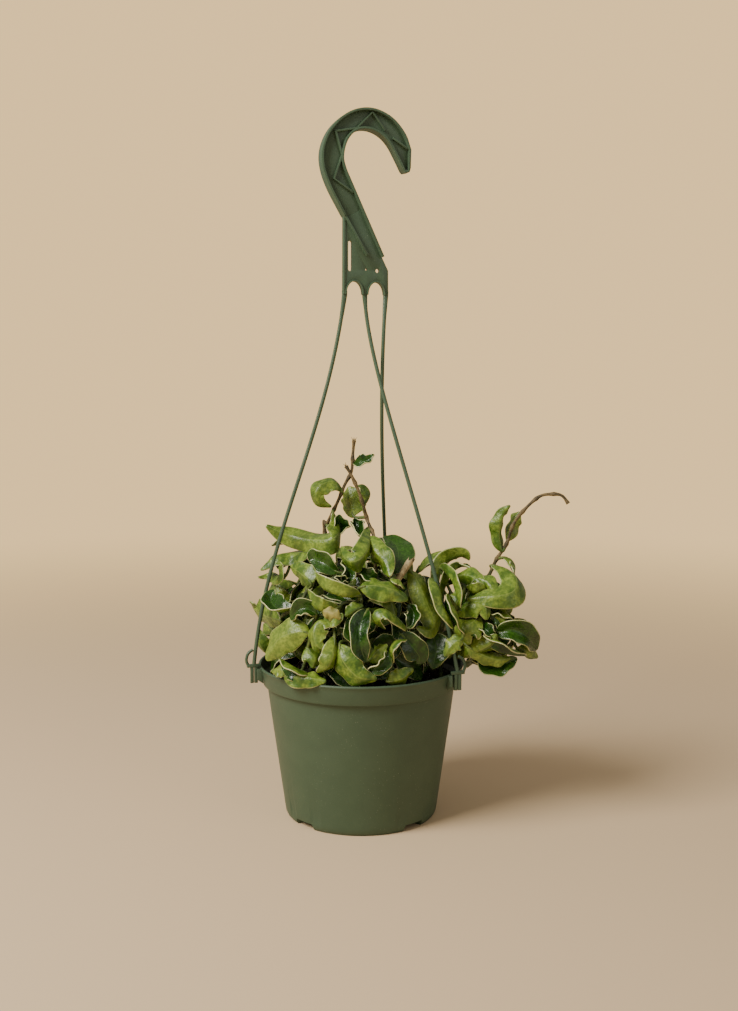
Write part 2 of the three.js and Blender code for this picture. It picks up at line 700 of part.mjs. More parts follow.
    leaves: [
      [[[-37, 198, 0], [-50, 199, 4], [-65, 196, 5], [-76, 185, 3]], 11.5, -130, 22, 45],
      [[[-58, 180, -10], [-68, 183, -8], [-78, 180, -6]], 6.5, -120, 30, 60],
      [[[-63, 191, 2], [-61, 182, 5], [-67, 175, 5]], 6, -90, 30, 60],
      [[[-37, 175, 0], [-44, 182, 3], [-53, 189, 4]], 10, 165, 20, 45],
      [[[-50, 157, -2], [-61, 154, 3], [-68, 162, 5], [-65, 171, 4]], 10.5, 60, 30, 55],
      [[[-61, 147, -16], [-73, 151, -16], [-80, 156, -10], [-82, 161, -6]], 11, 150, 15, 40],
    ],
  },
  {
    name: "vine_right_lower",
    mound: SIDE_MOUND,
    root: [60, -14],
    stem: [
      [64, 126, -10], [73, 148, -8], [90, 147, -8],
      [108, 142, -8], [114, 130, -6], [94, 118, -6],
    ],
    leaves: [
      [[[72, 152, 0], [82, 159, 5], [93, 158, 6], [95, 147, 4]], 10, 140, 22, 45],
      [[[90, 149, -2], [82, 144, 6], [77, 137, 8], [82, 128, 6]], 12.5, -150, 18, 38],
      [[[91, 143, -2], [96, 138, 3], [100, 133, 3]], 6.5, -20, 35, 60],
      [[[71, 119, 0], [85, 122, 6], [98, 129, 7], [103, 137, 5]], 10, -140, 28, 50],
      [[[114, 145, -6], [105, 150, -2], [97, 151, -2]], 9, -20, 30, 55],
      [[[103, 138, 0], [116, 140, 4], [127, 133, 5], [133, 124, 3]], 11, 15, 30, 50],
      [[[118, 126, 0], [126, 121, 5], [134, 118, 4]], 8.5, -150, 28, 55],
      [[[90, 116, 0], [103, 112, 4], [119, 118, 3]], 10, 10, 28, 50],
      [[[62, 135, 2], [69, 131, 7], [75, 125, 6]], 7, 170, 12, 30],
      [[[65, 131, 0], [67, 124, 4], [67, 118, 4]], 5, 170, 15, 40],
    ],
  },
  {
    name: "vine_right_upper",
    mound: SIDE_MOUND,
    root: [54, 8],
    stem: [
      [58, 152, -12], [60, 172, -8], [72, 176, -6], [88, 168, -6],
      [96, 181, 0], [102, 194, 0], [109, 205, 0],
      [114, 220, 0], [122, 231, 0], [133, 241, 0], [142, 243, 0], [150, 242, 0], [155, 236, 0],
    ],
    leaves: [
      [[[57, 167, -6], [62, 188, -2], [75, 196, 0], [82, 193, 0]], 10.5, -120, 25, 45],
      [[
        [65, 149, 0], [63, 158, 4], [63, 168, 6],
        [67, 181, 6], [75, 188, 4], [83, 187, 2],
      ], 8.5, -115, 35, 50],
      [[[69, 179, -4], [78, 182, 0], [86, 179, 2], [92, 172, 2]], 8.5, 150, 25, 45],
      [[[94, 171, 0], [86, 169, 3], [79, 173, 2]], 7, 160, 25, 50],
      [[[78, 170, -2], [74, 164, 4], [70, 156, 5]], 7, 160, 28, 55],
      [[
        [98, 189, 2], [109, 187, 5], [117, 179, 8], [116, 170, 9],
        [105, 166, 9], [92, 165, 6], [79, 163, 4],
      ], 12.5, 100, 22, 40],
      [[[107, 195, 0], [113, 194, -1], [116, 189, -2], [115, 183, -4]], 8.5, 110, 22, 45],
      [[[106, 200, 0], [104, 213, 2], [106, 226, 3], [112, 235, 2]], 8.5, -150, 40, 50],
      [[[110, 208, -2], [114, 222, -3], [119, 230, -4]], 7, 160, 30, 50],
      [[[99, 159, -6], [108, 156, -4], [116, 163, -6]], 10, -160, 20, 45],
    ],
  },
];

// The vines at the back and sides are given by their stems alone
const BACK_VINES = [
  {
    name: "vine_back",
    root: [2, 46],
    route: [[4, 52, 138], [4, 46, 170], [0, 28, 198]],
    leaves: 7,
  },
  {
    name: "vine_back_left",
    root: [-36, 36],
    route: [[-46, 40, 140], [-50, 34, 166], [-38, 22, 190]],
    leaves: 7,
  },
  {
    name: "vine_back_right",
    root: [38, 34],
    route: [[46, 40, 138], [46, 32, 164], [34, 18, 186]],
    leaves: 7,
  },
  { name: "vine_side_left", root: [-58, 14], route: [[-66, 16, 136], [-66, 10, 160]], leaves: 6 },
  {
    name: "vine_side_right",
    root: [55, 20],
    route: [[76, 28, 134], [92, 26, 148], [104, 18, 158]],
    leaves: 6,
  },
];

// The dense tangle inside the mound: a core that its leaves stand out of
const CORE = {
  name: "vine_inner",
  root: [-4, 22],
  middle: vec(-6, 6, 148),
  size: vec(42, 36, 38),
  leaves: 28,
};
const LEAF_TRIES = 20;
const GOLDEN_TURN = 137.5;
const MOUND_REACH = 86;
const CLEARANCE = 3.4;
const WIRE_CLEARANCE = 5;

// A small seeded source of even random numbers
function makeDraw(seed) {
  let state = seed;
  return (low, high) => {
    state = (state + 0x6d2b79f5) | 0;
    let mixed = Math.imul(state ^ (state >>> 15), 1 | state);
    mixed = (mixed + Math.imul(mixed ^ (mixed >>> 7), 61 | mixed)) ^ mixed;
    const even = ((mixed ^ (mixed >>> 14)) >>> 0) / 4294967296;
    return low + even * (high - low);
  };
}

function stemPoints(root, rest) {
  const [x, y] = root;
  const rooted = [ROOT_BOTTOM, 96, SOIL_EDGE + 5, SOIL_EDGE + 12].map((z) => vec(x, y, z));
  return [...rooted, ...rest];
}

// A stem is a rod of straight lengths, and leaves grow from the joints between them
const stemSteps = (points) => Math.round(new Route(points).getLength() / STEM_STEP);

function nearestJoint(points, place) {
  const joints = new Route(points).getSpacedPoints(stemSteps(points)).slice(0, -1);
  return joints.reduce((best, spot) => (spot.distanceTo(place) < best.distanceTo(place) ? spot : best));
}

function frontVine(vine) {
  const stem = stemPoints(vine.root, vine.stem.map((point) => seen(point, vine.mound)));
  const leaves = vine.leaves.map(([spots, halfWidth, turn, fold, curl]) => {
    const spine = spots.map((spot) => seen(spot, vine.mound));
    const along = spine[1].clone().sub(spine[0]).normalize();
    const viewer = EYE.clone().sub(spine[0]);
    const face = viewer.addScaledVector(along, -viewer.dot(along)).normalize();
    face.applyAxisAngle(along, rad(turn));
    spine.unshift(nearestJoint(stem, spine[0]));
    return { spine, face, halfWidth, fold, curl, twist: 0 };
  });
  return { name: vine.name, stem, leaves };
}

// Points along a stem and spread over a blade, to keep other blades away from them
const along = (stem) => new Route(stem).getSpacedPoints(30);
const spread = (leaf) =>
  bladeSurface(leaf, [0.05, 0.2, 0.4, 0.6, 0.8, 0.97], [-1, -0.5, 0, 0.5, 1], 0)
    .flat().map(({ point }) => point);

function isClear(points, taken, wires) {
  return points.every((point) => {
    const radius = Math.hypot(point.x, point.y);
    const floor = radius < NECK_RADIUS - 3 ? SOIL_EDGE + 5 : POT_HEIGHT + 4;
    return point.z > floor
      && (radius < MOUND_REACH || point.x > SIDE_MOUND.middle.x - SIDE_MOUND.size.x)
      && wires.every((spot) => spot.distanceTo(point) > WIRE_CLEARANCE)
      && taken.every((spot) => spot.distanceTo(point) > CLEARANCE);
  });
}

// One leaf that grows outward from its root, arches over and curls
function drawnLeaf(root, outward, along, turn, draw) {
  outward.addScaledVector(along, -outward.dot(along)).normalize();
  const heading = outward.clone().applyAxisAngle(along, rad(turn + draw(-35, 35)));
  heading.addScaledVector(outward, 0.5).addScaledVector(along, draw(0, 0.6)).normalize();
  const bendWay = vec(draw(-0.5, 0.5), draw(-0.5, 0.5), draw(-1, 0.3));
  bendWay.addScaledVector(heading, -bendWay.dot(heading)).normalize();
  const length = draw(30, 42);
  const bend = rad(draw(25, 65));
  const spine = [root, root.clone().addScaledVector(heading, STALK_LENGTH)];
  for (const part of [0, 1, 2]) {
    const way = heading.clone().multiplyScalar(Math.cos(part * bend))
      .addScaledVector(bendWay, Math.sin(part * bend));
    spine.push(spine[part + 1].clone().addScaledVector(way, length / 3));
  }
  const face = bendWay.multiplyScalar(draw(0, 1) < 0.65 ? 1 : -1);
  return {
    spine,
    face,
    halfWidth: draw(9, 12.5),
    fold: draw(15, 35),
    curl: draw(35, 65),
    twist: draw(-30, 30),
  };
}

function drawnLeaves(count, drawLeaf, taken, wires) {
  const leaves = [];
  for (let i = 0; i < count; i += 1) {
    for (let attempt = 0; attempt < LEAF_TRIES; attempt += 1) {
      const leaf = drawLeaf(i);
      const points = spread(leaf);
      if (isClear(points, taken, wires)) {
        leaves.push(leaf);
        taken.push(...points);
        break;
      }
    }
  }
  return leaves;
}

const backStem = (vine) => stemPoints(vine.root, vine.route.map((point) => vec(...point)));

function backVine(vine, draw, taken, wires) {
  const stem = backStem(vine);
  const drawLeaf = (i) => {
    const t = 0.55 + (0.43 * i) / (vine.leaves - 1);
    const root = nearestJoint(stem, onRoute(stem, t));
    const along = onRoute(stem, Math.min(t + 0.02, 1)).sub(onRoute(stem, t - 0.02)).normalize();
    const outward = vec(root.x, root.y, 0.4 * (root.z - 130));
    return drawnLeaf(root, outward, along, [-75, 75, 0][i % 3], draw);
  };
  return { name: vine.name, stem, leaves: drawnLeaves(vine.leaves, drawLeaf, taken, wires) };
}

// The inner leaves are spread over the core by equal turns, from its top down
function innerVine(draw, taken, wires) {
  const stem = stemPoints(CORE.root, [CORE.middle]);
  const drawLeaf = (i) => {
    const height = 0.95 - (1.25 * i) / (CORE.leaves - 1);
    const around = across(i * GOLDEN_TURN + draw(-15, 15)).multiplyScalar(Math.sqrt(1 - height * height));
    const normal = around.setZ(height);
    const root = normal.clone().multiplyScalar(0.92).multiply(CORE.size).add(CORE.middle);
    const along = vec(draw(-1, 1), draw(-1, 1), draw(0, 1)).cross(normal).normalize();
    return drawnLeaf(root, normal, along, draw(-60, 60), draw);
  };
  return { name: CORE.name, stem, leaves: drawnLeaves(CORE.leaves, drawLeaf, taken, wires), core: CORE };
}

function allVines() {
  const draw = makeDraw(7);
  const front = FRONT_VINES.map(frontVine);
  const taken = front.flatMap((vine) => [...vine.leaves.flatMap(spread), ...along(vine.stem)]);
  const wires = Object.keys(LUG_ANGLES).flatMap((name) => wireCurve(name).getPoints(60));
  const back = BACK_VINES.map((vine) => {
    const others = BACK_VINES.filter((other) => other !== vine).flatMap((other) => along(backStem(other)));
    return backVine(vine, draw, taken, [...wires, ...others]);
  });
  return [...front, ...back, innerVine(draw, taken, wires)];
}

function vineSolid(vine, grow = 0) {
  const width = 2 * (STEM_RADIUS + grow);
  const stem = rod(new Route(vine.stem), width, width, STEM_SIDES, stemSteps(vine.stem));
  const solids = [stem, ...vine.leaves.map((leaf) => bladeSolid(leaf, grow))];
  if (vine.core) {
    const lump = new THREE.SphereGeometry(1, 10, 7);
    lump.rotateX(Math.PI / 2);
    lump.scale(...vine.core.size.toArray());
    lump.translate(...vine.core.middle.toArray());
    solids.push(solidOf(lump));
  }
  return joined(solids);
}

// The room that leaves keep clear of: the rim and each wire with its end
function fixedRoom() {
  const rim = turned([
    [NECK_RADIUS - WALL - GAP, POT_HEIGHT - RIM_BAND - 4],
    [RIM_RADIUS + GAP, POT_HEIGHT - RIM_BAND - 4],
    [RIM_RADIUS + GAP, POT_HEIGHT + GAP],
    [RIM_RADIUS - 2.9 - GAP, POT_HEIGHT + GAP],
  ], ROUND);
  const wires = Object.keys(LUG_ANGLES).flatMap((name) => {
    const foot = wireCurve(name).getPoint(1);
    const end = block(
      2 * LOOP_REACH + 3,
      2 * CHEEK_OFFSET + 3,
      2 * PRONG_LENGTH + 2,
      foot,
      LUG_ANGLES[name],
    );
    const around = 3 * GAP;
    const wire = rod(
      wireCurve(name),
      WIRE_WIDTH + around,
      WIRE_THICK + around,
      WIRE_SIDES,
      WIRE_STEPS,
    );
    return [wire, end];
  });
  return joined([rim, ...wires]);
}

// The whole object

const finish = (colour, roughness) =>
  new THREE.MeshStandardMaterial({ color: colour, roughness, metalness: 0, flatShading: true });

// Small facets are merged, and loose scraps that a cut leaves are dropped
function addPart(group, name, solid, material) {
  const tidied = solidOf(geometryOf(solid.simplify(TIDY)));
  const mesh = new THREE.Mesh(geometryOf(largestBody(tidied)), material);
  mesh.name = name;
  group.add(mesh);
}

function makeHoya() {
  const group = new THREE.Group();
  const potPlastic = finish(COLOURS.pot, 0.55);
  const hangerPlastic = finish(COLOURS.hanger, 0.5);
  addPart(group, "pot", makePot(), potPlastic);
  const roots = [...FRONT_VINES, ...BACK_VINES, CORE].map((vine) => vine.root);
  const soil = makeSoil(roots);
  addPart(group, "soil", soil, finish(COLOURS.soil, 0.95));
  addPart(group, "hanger_hook", makeHook(), hangerPlastic);
  Object.keys(LUG_ANGLES).forEach((name) =>
    addPart(group, `hanger_wire_${name}`, makeWire(name), hangerPlastic));

  let room = joined([fixedRoom(), soil.translate([0, 0, GAP])]);
  const plant = finish(COLOURS.plant, 0.45);
  allVines().forEach((vine) => {
    addPart(group, vine.name, vineSolid(vine).subtract(room), plant);
    room = room.add(vineSolid(vine, 2 * GAP));
  });
  return group;
}

export default makeHoya();
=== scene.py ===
# %% [markdown]
# # A hindu rope hoya in its hanging pot
# The plant is a rope hoya: thick leaves, folded and curled, crowd along short
# stems. It grows in a round plastic pot whose three thin wires run up to a flat
# moulded hook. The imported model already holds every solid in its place, so it is
# loaded first, and each new piece is measured from it or repeats its numbers.

# %% Load the frame
import math
import random

import bmesh
import bpy
import numpy as np
from mathutils import Matrix, Vector, noise


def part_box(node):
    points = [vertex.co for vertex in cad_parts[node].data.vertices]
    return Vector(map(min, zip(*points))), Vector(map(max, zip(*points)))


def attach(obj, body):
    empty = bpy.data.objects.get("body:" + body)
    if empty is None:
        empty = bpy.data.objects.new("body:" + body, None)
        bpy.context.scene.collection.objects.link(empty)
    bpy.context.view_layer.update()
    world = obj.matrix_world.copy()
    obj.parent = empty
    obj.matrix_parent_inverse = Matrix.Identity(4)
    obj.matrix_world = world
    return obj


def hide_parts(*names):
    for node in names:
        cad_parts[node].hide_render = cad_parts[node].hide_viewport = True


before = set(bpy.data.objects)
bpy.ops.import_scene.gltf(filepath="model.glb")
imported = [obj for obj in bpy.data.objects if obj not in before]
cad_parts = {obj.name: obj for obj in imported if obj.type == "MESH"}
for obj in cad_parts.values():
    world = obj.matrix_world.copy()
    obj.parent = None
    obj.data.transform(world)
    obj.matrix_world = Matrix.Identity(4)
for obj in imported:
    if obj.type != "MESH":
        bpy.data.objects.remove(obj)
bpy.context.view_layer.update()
pot_low, pot_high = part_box("pot")
MM = 0.001
print("pot", round(pot_high.z - pot_low.z, 4), "m high in the frame")

# %% [markdown]
# ## Camera
# The photograph was taken from a little above the plant, almost a metre away. The
# ellipses of the pot's rim and foot fix the camera's height and its downward tilt,
# and the hook's height fixes the lens. Nothing is shifted and nothing is blurred.

# %% Camera at the photograph's angle
EYE_PLACE = Vector((0.00609, -0.9156, 0.338))
EYE_TILT = math.radians(90) - 0.1126
LENS = 43.9
SENSOR = 36


def add_object(name, data):
    thing = bpy.data.objects.new(name, data)
    bpy.context.scene.collection.objects.link(thing)
    return thing


eye = bpy.data.cameras.new("eye")
eye.lens = LENS
eye.sensor_width = SENSOR
camera = add_object("eye", eye)
camera.location = EYE_PLACE
camera.rotation_euler = (EYE_TILT, 0, 0)
bpy.context.scene.camera = camera
print("camera", tuple(round(v, 3) for v in camera.location))

# %% [markdown]
# ## Helpers for materials
# A material is a small graph of nodes. One helper adds a node and sets its values,
# and another starts a material whose shader already has its plain numbers, which
# stay on the shader's own sockets. The others calculate, mix colours and turn a
# changing value into a mask.

# %% Node helpers
def add_node(tree, kind, values=None, **settings):
    node = tree.nodes.new(kind)
    for name, value in settings.items():
        setattr(node, name, value)
    for name, value in (values or {}).items():
        node.inputs[name].default_value = value
    return node


def start_material(name, **shader_values):
    material = bpy.data.materials.new(name)
    material.use_nodes = True
    shader = material.node_tree.nodes["Principled BSDF"]
    for socket, value in shader_values.items():
        shader.inputs[socket.replace("_", " ")].default_value = value
    return material, material.node_tree, shader


def feed(tree, socket, value):
    """Links a node's output to the socket, or sets a plain number or colour."""
    if isinstance(value, bpy.types.NodeSocket):
        tree.links.new(value, socket)
    else:
        socket.default_value = value


print("node helpers ready")


# %% Sums, mixes and masks
def calculate(tree, operation, *values):
    node = add_node(tree, "ShaderNodeMath", operation=operation)
    for socket, value in zip(node.inputs, values):
        feed(tree, socket, value)
    return node.outputs["Value"]


def mix_colours(tree, factor, first, second):
    mix = add_node(tree, "ShaderNodeMix", data_type="RGBA")
    for socket, value in ((0, factor), (6, first), (7, second)):
        feed(tree, mix.inputs[socket], value)
    return mix.outputs[2]


def band(tree, value, low, high):
    """Turns a changing value into a mask that rises from 0 at low to 1 at high."""
    ramp = add_node(tree, "ShaderNodeMapRange", {"From Min": low, "From Max": high})
    ramp.interpolation_type = "SMOOTHSTEP"
    tree.links.new(value, ramp.inputs["Value"])
    return ramp.outputs["Result"]


def object_place(tree):
    return add_node(tree, "ShaderNodeTexCoord").outputs["Object"]


print("mask helpers ready")

# %% [markdown]
# ## Shared effects
# Leaves, plastic and soil are all a little uneven. One node group makes soft
# blotches and another makes small specks, and each material places them with a
# scale of its own. They give masks only, so the colours stay in the material.

# %% Blotch and speck groups
def start_group(name, **inputs):
    group = bpy.data.node_groups.new(name, "ShaderNodeTree")
    number = {"socket_type": "NodeSocketFloat"}
    for title, value in inputs.items():
        socket = group.interface.new_socket(title, in_out="INPUT", **number)
        socket.default_value = value
    group.interface.new_socket("Mask", in_out="OUTPUT", **number)
    given = group.nodes.new("NodeGroupInput")
    result = group.nodes.new("NodeGroupOutput")
    return group, given.outputs, result.inputs["Mask"]


def make_blotches():
    group, given, mask = start_group("blotches", Scale=200.0, Detail=3.0)
    clouds = add_node(group, "ShaderNodeTexNoise", {"Roughness": 0.55})
    group.links.new(object_place(group), clouds.inputs["Vector"])
    for title in ("Scale", "Detail"):
        group.links.new(given[title], clouds.inputs[title])
    group.links.new(band(group, clouds.outputs["Fac"], 0.36, 0.64), mask)
    return group


def make_specks():
    group, given, mask = start_group("specks", Scale=900.0, Size=0.2)
    cells = add_node(group, "ShaderNodeTexVoronoi", {"Randomness": 1.0})
    group.links.new(object_place(group), cells.inputs["Vector"])
    group.links.new(given["Scale"], cells.inputs["Scale"])
    near = calculate(group, "LESS_THAN", cells.outputs["Distance"], given["Size"])
    group.links.new(near, mask)
    return group


blotches = make_blotches()
specks = make_specks()
print("shared effects", blotches.name, specks.name)


# %% Placing an effect
def place_group(tree, group, **values):
    node = tree.nodes.new("ShaderNodeGroup")
    node.node_tree = group
    for name, value in values.items():
        node.inputs[name].default_value = value
    return node.outputs["Mask"]


def add_relief(tree, shader, scale, detail, distance, strength):
    """A bump from blotches of the given scale, for skin that is too fine to model."""
    height = place_group(tree, blotches, Scale=scale, Detail=detail)
    bump = add_node(tree, "ShaderNodeBump", {"Distance": distance, "Strength": strength})
    tree.links.new(height, bump.inputs["Height"])
    tree.links.new(bump.outputs["Normal"], shader.inputs["Normal"])


print("effects can be placed")

# %% [markdown]
# ## Floor and light
# The plant stands on a plain beige sheet with no visible horizon. A wide floor
# takes the shadow near the pot and fades into the colour of the surroundings
# further out, so that it looks the same from every side. A large soft light
# stands high at the front left, and a weak one fills the right.

# %% Floor
BACKDROP = (1.30, 0.88, 0.40, 1.0)
PAPER = (0.69, 0.515, 0.315, 1.0)
FLOOR_RADIUS = 9.0
FADE_START = 0.30
FADE_END = 1.7


def to_mesh(name, shape):
    mesh = bpy.data.meshes.new(name)
    shape.to_mesh(mesh)
    shape.free()
    return mesh


def blend_for_camera(tree, lit, seen_alone, share=None):
    """The camera sees the second shader, all of it or a share. Light meets the first."""
    rays = add_node(tree, "ShaderNodeLightPath").outputs["Is Camera Ray"]
    factor = rays if share is None else calculate(tree, "MULTIPLY", share, rays)
    blend = add_node(tree, "ShaderNodeMixShader")
    for socket, value in zip(blend.inputs, (factor, lit, seen_alone)):
        tree.links.new(value, socket)
    return blend.outputs["Shader"]


def make_floor():
    shape = bmesh.new()
    bmesh.ops.create_circle(shape, cap_ends=True, segments=96, radius=FLOOR_RADIUS)
    plain = add_object("floor", to_mesh("floor", shape))
    material, tree, shader = start_material("floor_paper", Roughness=0.95, Base_Color=PAPER)
    glow = add_node(tree, "ShaderNodeEmission", {"Color": BACKDROP, "Strength": 1.0})
    reach = add_node(tree, "ShaderNodeVectorMath", operation="LENGTH")
    tree.links.new(object_place(tree), reach.inputs[0])
    fade = band(tree, reach.outputs["Value"], FADE_START, FADE_END)
    surface = blend_for_camera(tree, shader.outputs["BSDF"], glow.outputs["Emission"], fade)
    tree.links.new(surface, tree.nodes["Material Output"].inputs["Surface"])
    plain.data.materials.append(material)


make_floor()
print("the floor reaches", FLOOR_RADIUS, "m")

# %% Surroundings
ROOM_LIGHT = (1.0, 0.90, 0.76, 1.0)
ROOM_STRENGTH = 0.34


def make_surroundings():
    """The camera sees the backdrop's own colour, and the part gets a dimmer, whiter light."""
    world = bpy.data.worlds.new("surroundings")
    world.use_nodes = True
    tree = world.node_tree
    backdrop = tree.nodes["Background"]
    backdrop.inputs["Color"].default_value = BACKDROP
    ambient = add_node(
        tree, "ShaderNodeBackground", {"Color": ROOM_LIGHT, "Strength": ROOM_STRENGTH})
    surface = blend_for_camera(
        tree, ambient.outputs["Background"], backdrop.outputs["Background"])
    tree.links.new(surface, tree.nodes["World Output"].inputs["Surface"])
    bpy.context.scene.world = world


make_surroundings()
print("room light", ROOM_STRENGTH)

# %% Lamps
LAMP_AIM = Vector((0.02, 0, 0.2))
LAMPS = {
    "key": ((-1.05, -0.75, 1.30), 0.80, 43, (1.0, 0.95, 0.88)),
    "fill": ((1.3, -1.0, 0.9), 1.0, 3, (1.0, 0.97, 0.93)),
}
for name, (place, size, power, colour) in LAMPS.items():
    light = bpy.data.lights.new(name, "AREA")
    light.size = size
    light.energy = power
    light.color = colour
    lamp = add_object(name, light)
    lamp.location = place
    lamp.rotation_euler = (LAMP_AIM - Vector(place)).to_track_quat("-Z", "Y").to_euler()
    print("lamp", name, power, "W")

# %% [markdown]
# ## Helpers for shapes
# Every piece is built in a bmesh and then becomes an object that sits at the
# origin, with its place in its mesh. The helper also hangs the piece on the root
# body, hides the imported nodes it stands for and gives it its finish.

# %% Piece helpers
def to_metres(shape):
    bmesh.ops.scale(shape, verts=shape.verts, vec=(MM, MM, MM))
    return shape


def finish_piece(name, shape, materials, nodes=(), smooth_angle=40):
    bmesh.ops.recalc_face_normals(shape, faces=shape.faces)
    return keep_piece(name, shape, materials, nodes, smooth_angle)


def keep_piece(name, shape, materials, nodes=(), smooth_angle=40):
    for face in shape.faces:
        face.smooth = True
    for edge in shape.edges:
        if len(edge.link_faces) == 2:
            edge.smooth = edge.calc_face_angle(0) < math.radians(smooth_angle)
    mesh = to_mesh(name, shape)
    for material in materials:
        mesh.materials.append(material)
    piece = add_object(name, mesh)
    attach(piece, "root")
    if nodes:
        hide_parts(*nodes)
    print(name, len(mesh.polygons), "faces")
    return piece


print("piece helpers ready")


# %% Edge helpers
def edges_of(verts):
    """Every edge at these verts, once and in a steady order."""
    return list(dict.fromkeys(edge for vert in verts for edge in vert.link_edges))


def round_edges(shape, edges, size):
    """Rounds the edges and gives back the corners that this makes."""
    rounded = bmesh.ops.bevel(
        shape, geom=edges, offset=size, segments=2, profile=0.5, affect="EDGES", material=-1)
    return list(dict.fromkeys(rounded["verts"]))


print("edge helpers ready")


# %% Sweep helper
def one_each(size, count):
    return [size] * count if isinstance(size, (int, float)) else size


def sweep(shape, points, across, deep=None, sides=10, level=None):
    """Carries a ring of the given half sizes along points and gives back its last
    verts. A half size may be a list with one value a point, and level keeps the
    ring's width level with it."""
    count = len(points)
    across = one_each(across, count)
    deep = across if deep is None else one_each(deep, count)
    ring = bmesh.ops.create_circle(shape, cap_ends=False, segments=sides, radius=1.0)["verts"]
    edges = edges_of(ring)
    first = last = ring
    placed = Matrix.Identity(4)
    width = None
    for i, point in enumerate(points):
        along = (points[min(i + 1, count - 1)] - points[max(i - 1, 0)]).normalized()
        if level is not None:
            width = Vector(level)
        elif width is None:
            width = along.orthogonal()
        width = (width - along * width.dot(along)).normalized()
        depth = along.cross(width)
        target = Matrix((width * across[i], depth * deep[i], along)).transposed().to_4x4()
        target.translation = point
        if i:
            grown = bmesh.ops.extrude_edge_only(shape, edges=edges)["geom"]
            last = [item for item in grown if isinstance(item, bmesh.types.BMVert)]
            fresh = set(last)
            edges = [item for item in grown if isinstance(item, bmesh.types.BMEdge)
                     and all(vert in fresh for vert in item.verts)]
        bmesh.ops.transform(shape, matrix=target @ placed.inverted(), verts=last)
        placed = target
    for end in (first, last):
        bmesh.ops.contextual_create(shape, geom=end)
    return last


print("sweep helper ready")

# %% [markdown]
# ## Pot
# The pot is thin moulded polypropylene: a cone that widens up to a band round the
# rim, on a foot ring with four low notches. Its wall is one profile turned about
# the axis, so the profile is drawn as a few edges and spun. The notches and the
# small recesses beside them are then pressed into the foot, and the drain holes
# are cut with a Boolean modifier.

# %% Pot sizes
POT_HEIGHT = 116 * MM
RIM_RADIUS = 77.5 * MM
RIM_BAND = 15 * MM
NECK_RADIUS = 70.8 * MM
BASE_RADIUS = 58.4 * MM
FOOT_OUTER = 55.5 * MM
FOOT_INNER = 49 * MM
WALL = 1.6 * MM
FLOOR_UNDERSIDE = 4 * MM
PAD_RADIUS = 16 * MM
POT_STEPS = 288


def pot_profile():
    """The wall's outline as (radius, height), from the underside up and back down inside."""
    band_foot = POT_HEIGHT - RIM_BAND
    floor_top = FLOOR_UNDERSIDE + WALL
    return [
        (0.0, 0.0), (PAD_RADIUS, 0.0), (PAD_RADIUS + 0.002, FLOOR_UNDERSIDE),
        (FOOT_INNER, FLOOR_UNDERSIDE), (FOOT_INNER + 0.0007, 0.0006), (FOOT_INNER + 0.0014, 0.0),
        (FOOT_OUTER, 0.0), (FOOT_OUTER + 0.0011, 0.001), (FOOT_OUTER + 0.002, 0.003),
        (FOOT_OUTER + 0.0025, 0.006), (BASE_RADIUS, 0.009), (BASE_RADIUS + 0.0014, 0.019),
        (BASE_RADIUS + 0.0056, 0.049), (BASE_RADIUS + 0.0098, 0.079),
        (NECK_RADIUS - 0.0002, band_foot - 0.0030), (NECK_RADIUS, band_foot - 0.0008),
        (NECK_RADIUS + 0.0001, band_foot - 0.0002), (NECK_RADIUS + 0.0004, band_foot),
        (NECK_RADIUS + 0.0027, band_foot + 0.0001), (NECK_RADIUS + 0.0032, band_foot + 0.0004),
        (NECK_RADIUS + 0.0035, band_foot + 0.0012), (NECK_RADIUS + 0.0039, band_foot + 0.0030),
        (RIM_RADIUS - 0.0010, POT_HEIGHT - 0.0050), (RIM_RADIUS - 0.0006, POT_HEIGHT - 0.0022),
        (RIM_RADIUS - 0.0001, POT_HEIGHT - 0.0016), (RIM_RADIUS, POT_HEIGHT - 0.0011),
        (RIM_RADIUS - 0.0001, POT_HEIGHT - 0.0007), (RIM_RADIUS - 0.0005, POT_HEIGHT - 0.0002),
        (RIM_RADIUS - 0.0012, POT_HEIGHT), (RIM_RADIUS - 0.0020, POT_HEIGHT - 0.0004),
        (RIM_RADIUS - 0.0029, POT_HEIGHT - 0.010), (NECK_RADIUS - WALL, band_foot - 0.0014),
        (BASE_RADIUS - WALL, 0.010), (FOOT_OUTER - 0.0015, floor_top),
        (PAD_RADIUS + 0.001, floor_top), (PAD_RADIUS - 0.001, WALL), (0.0, WALL),
    ]


print("pot profile of", len(pot_profile()), "points")

# %% Pot plastic
DUST = (0.17, 0.21, 0.14, 1)


def make_plastic(name, dark, light, roughness):
    """Moulded plastic: a faint blotchy tone, fine orange peel and a few pale dust specks."""
    material, tree, shader = start_material(
        name, Roughness=roughness, Specular_IOR_Level=0.4)
    tone = place_group(tree, blotches, Scale=55.0, Detail=4.0)
    colour = mix_colours(tree, tone, dark, light)
    spots = place_group(tree, specks, Scale=420.0, Size=0.10)
    patch = place_group(tree, blotches, Scale=23.0, Detail=2.0)
    dusty = mix_colours(tree, calculate(tree, "MULTIPLY", spots, patch), colour, DUST)
    tree.links.new(dusty, shader.inputs["Base Color"])
    add_relief(tree, shader, 1400.0, 2.0, 0.00006, 0.6)
    return material


pot_plastic = make_plastic(
    "pot_plastic", (0.053, 0.090, 0.051, 1), (0.058, 0.097, 0.055, 1), 0.50)
print("material", pot_plastic.name)

# %% Foot of the pot
NOTCH_ANGLES = (-137, -47, 43, 133)
NOTCH_WIDTH = 18 * MM
NOTCH_HEIGHT = 4.5 * MM
RECESS_WIDTH = 7.5 * MM
RECESS_TOP = 9.5 * MM
RECESS_RADIUS = 57.7 * MM


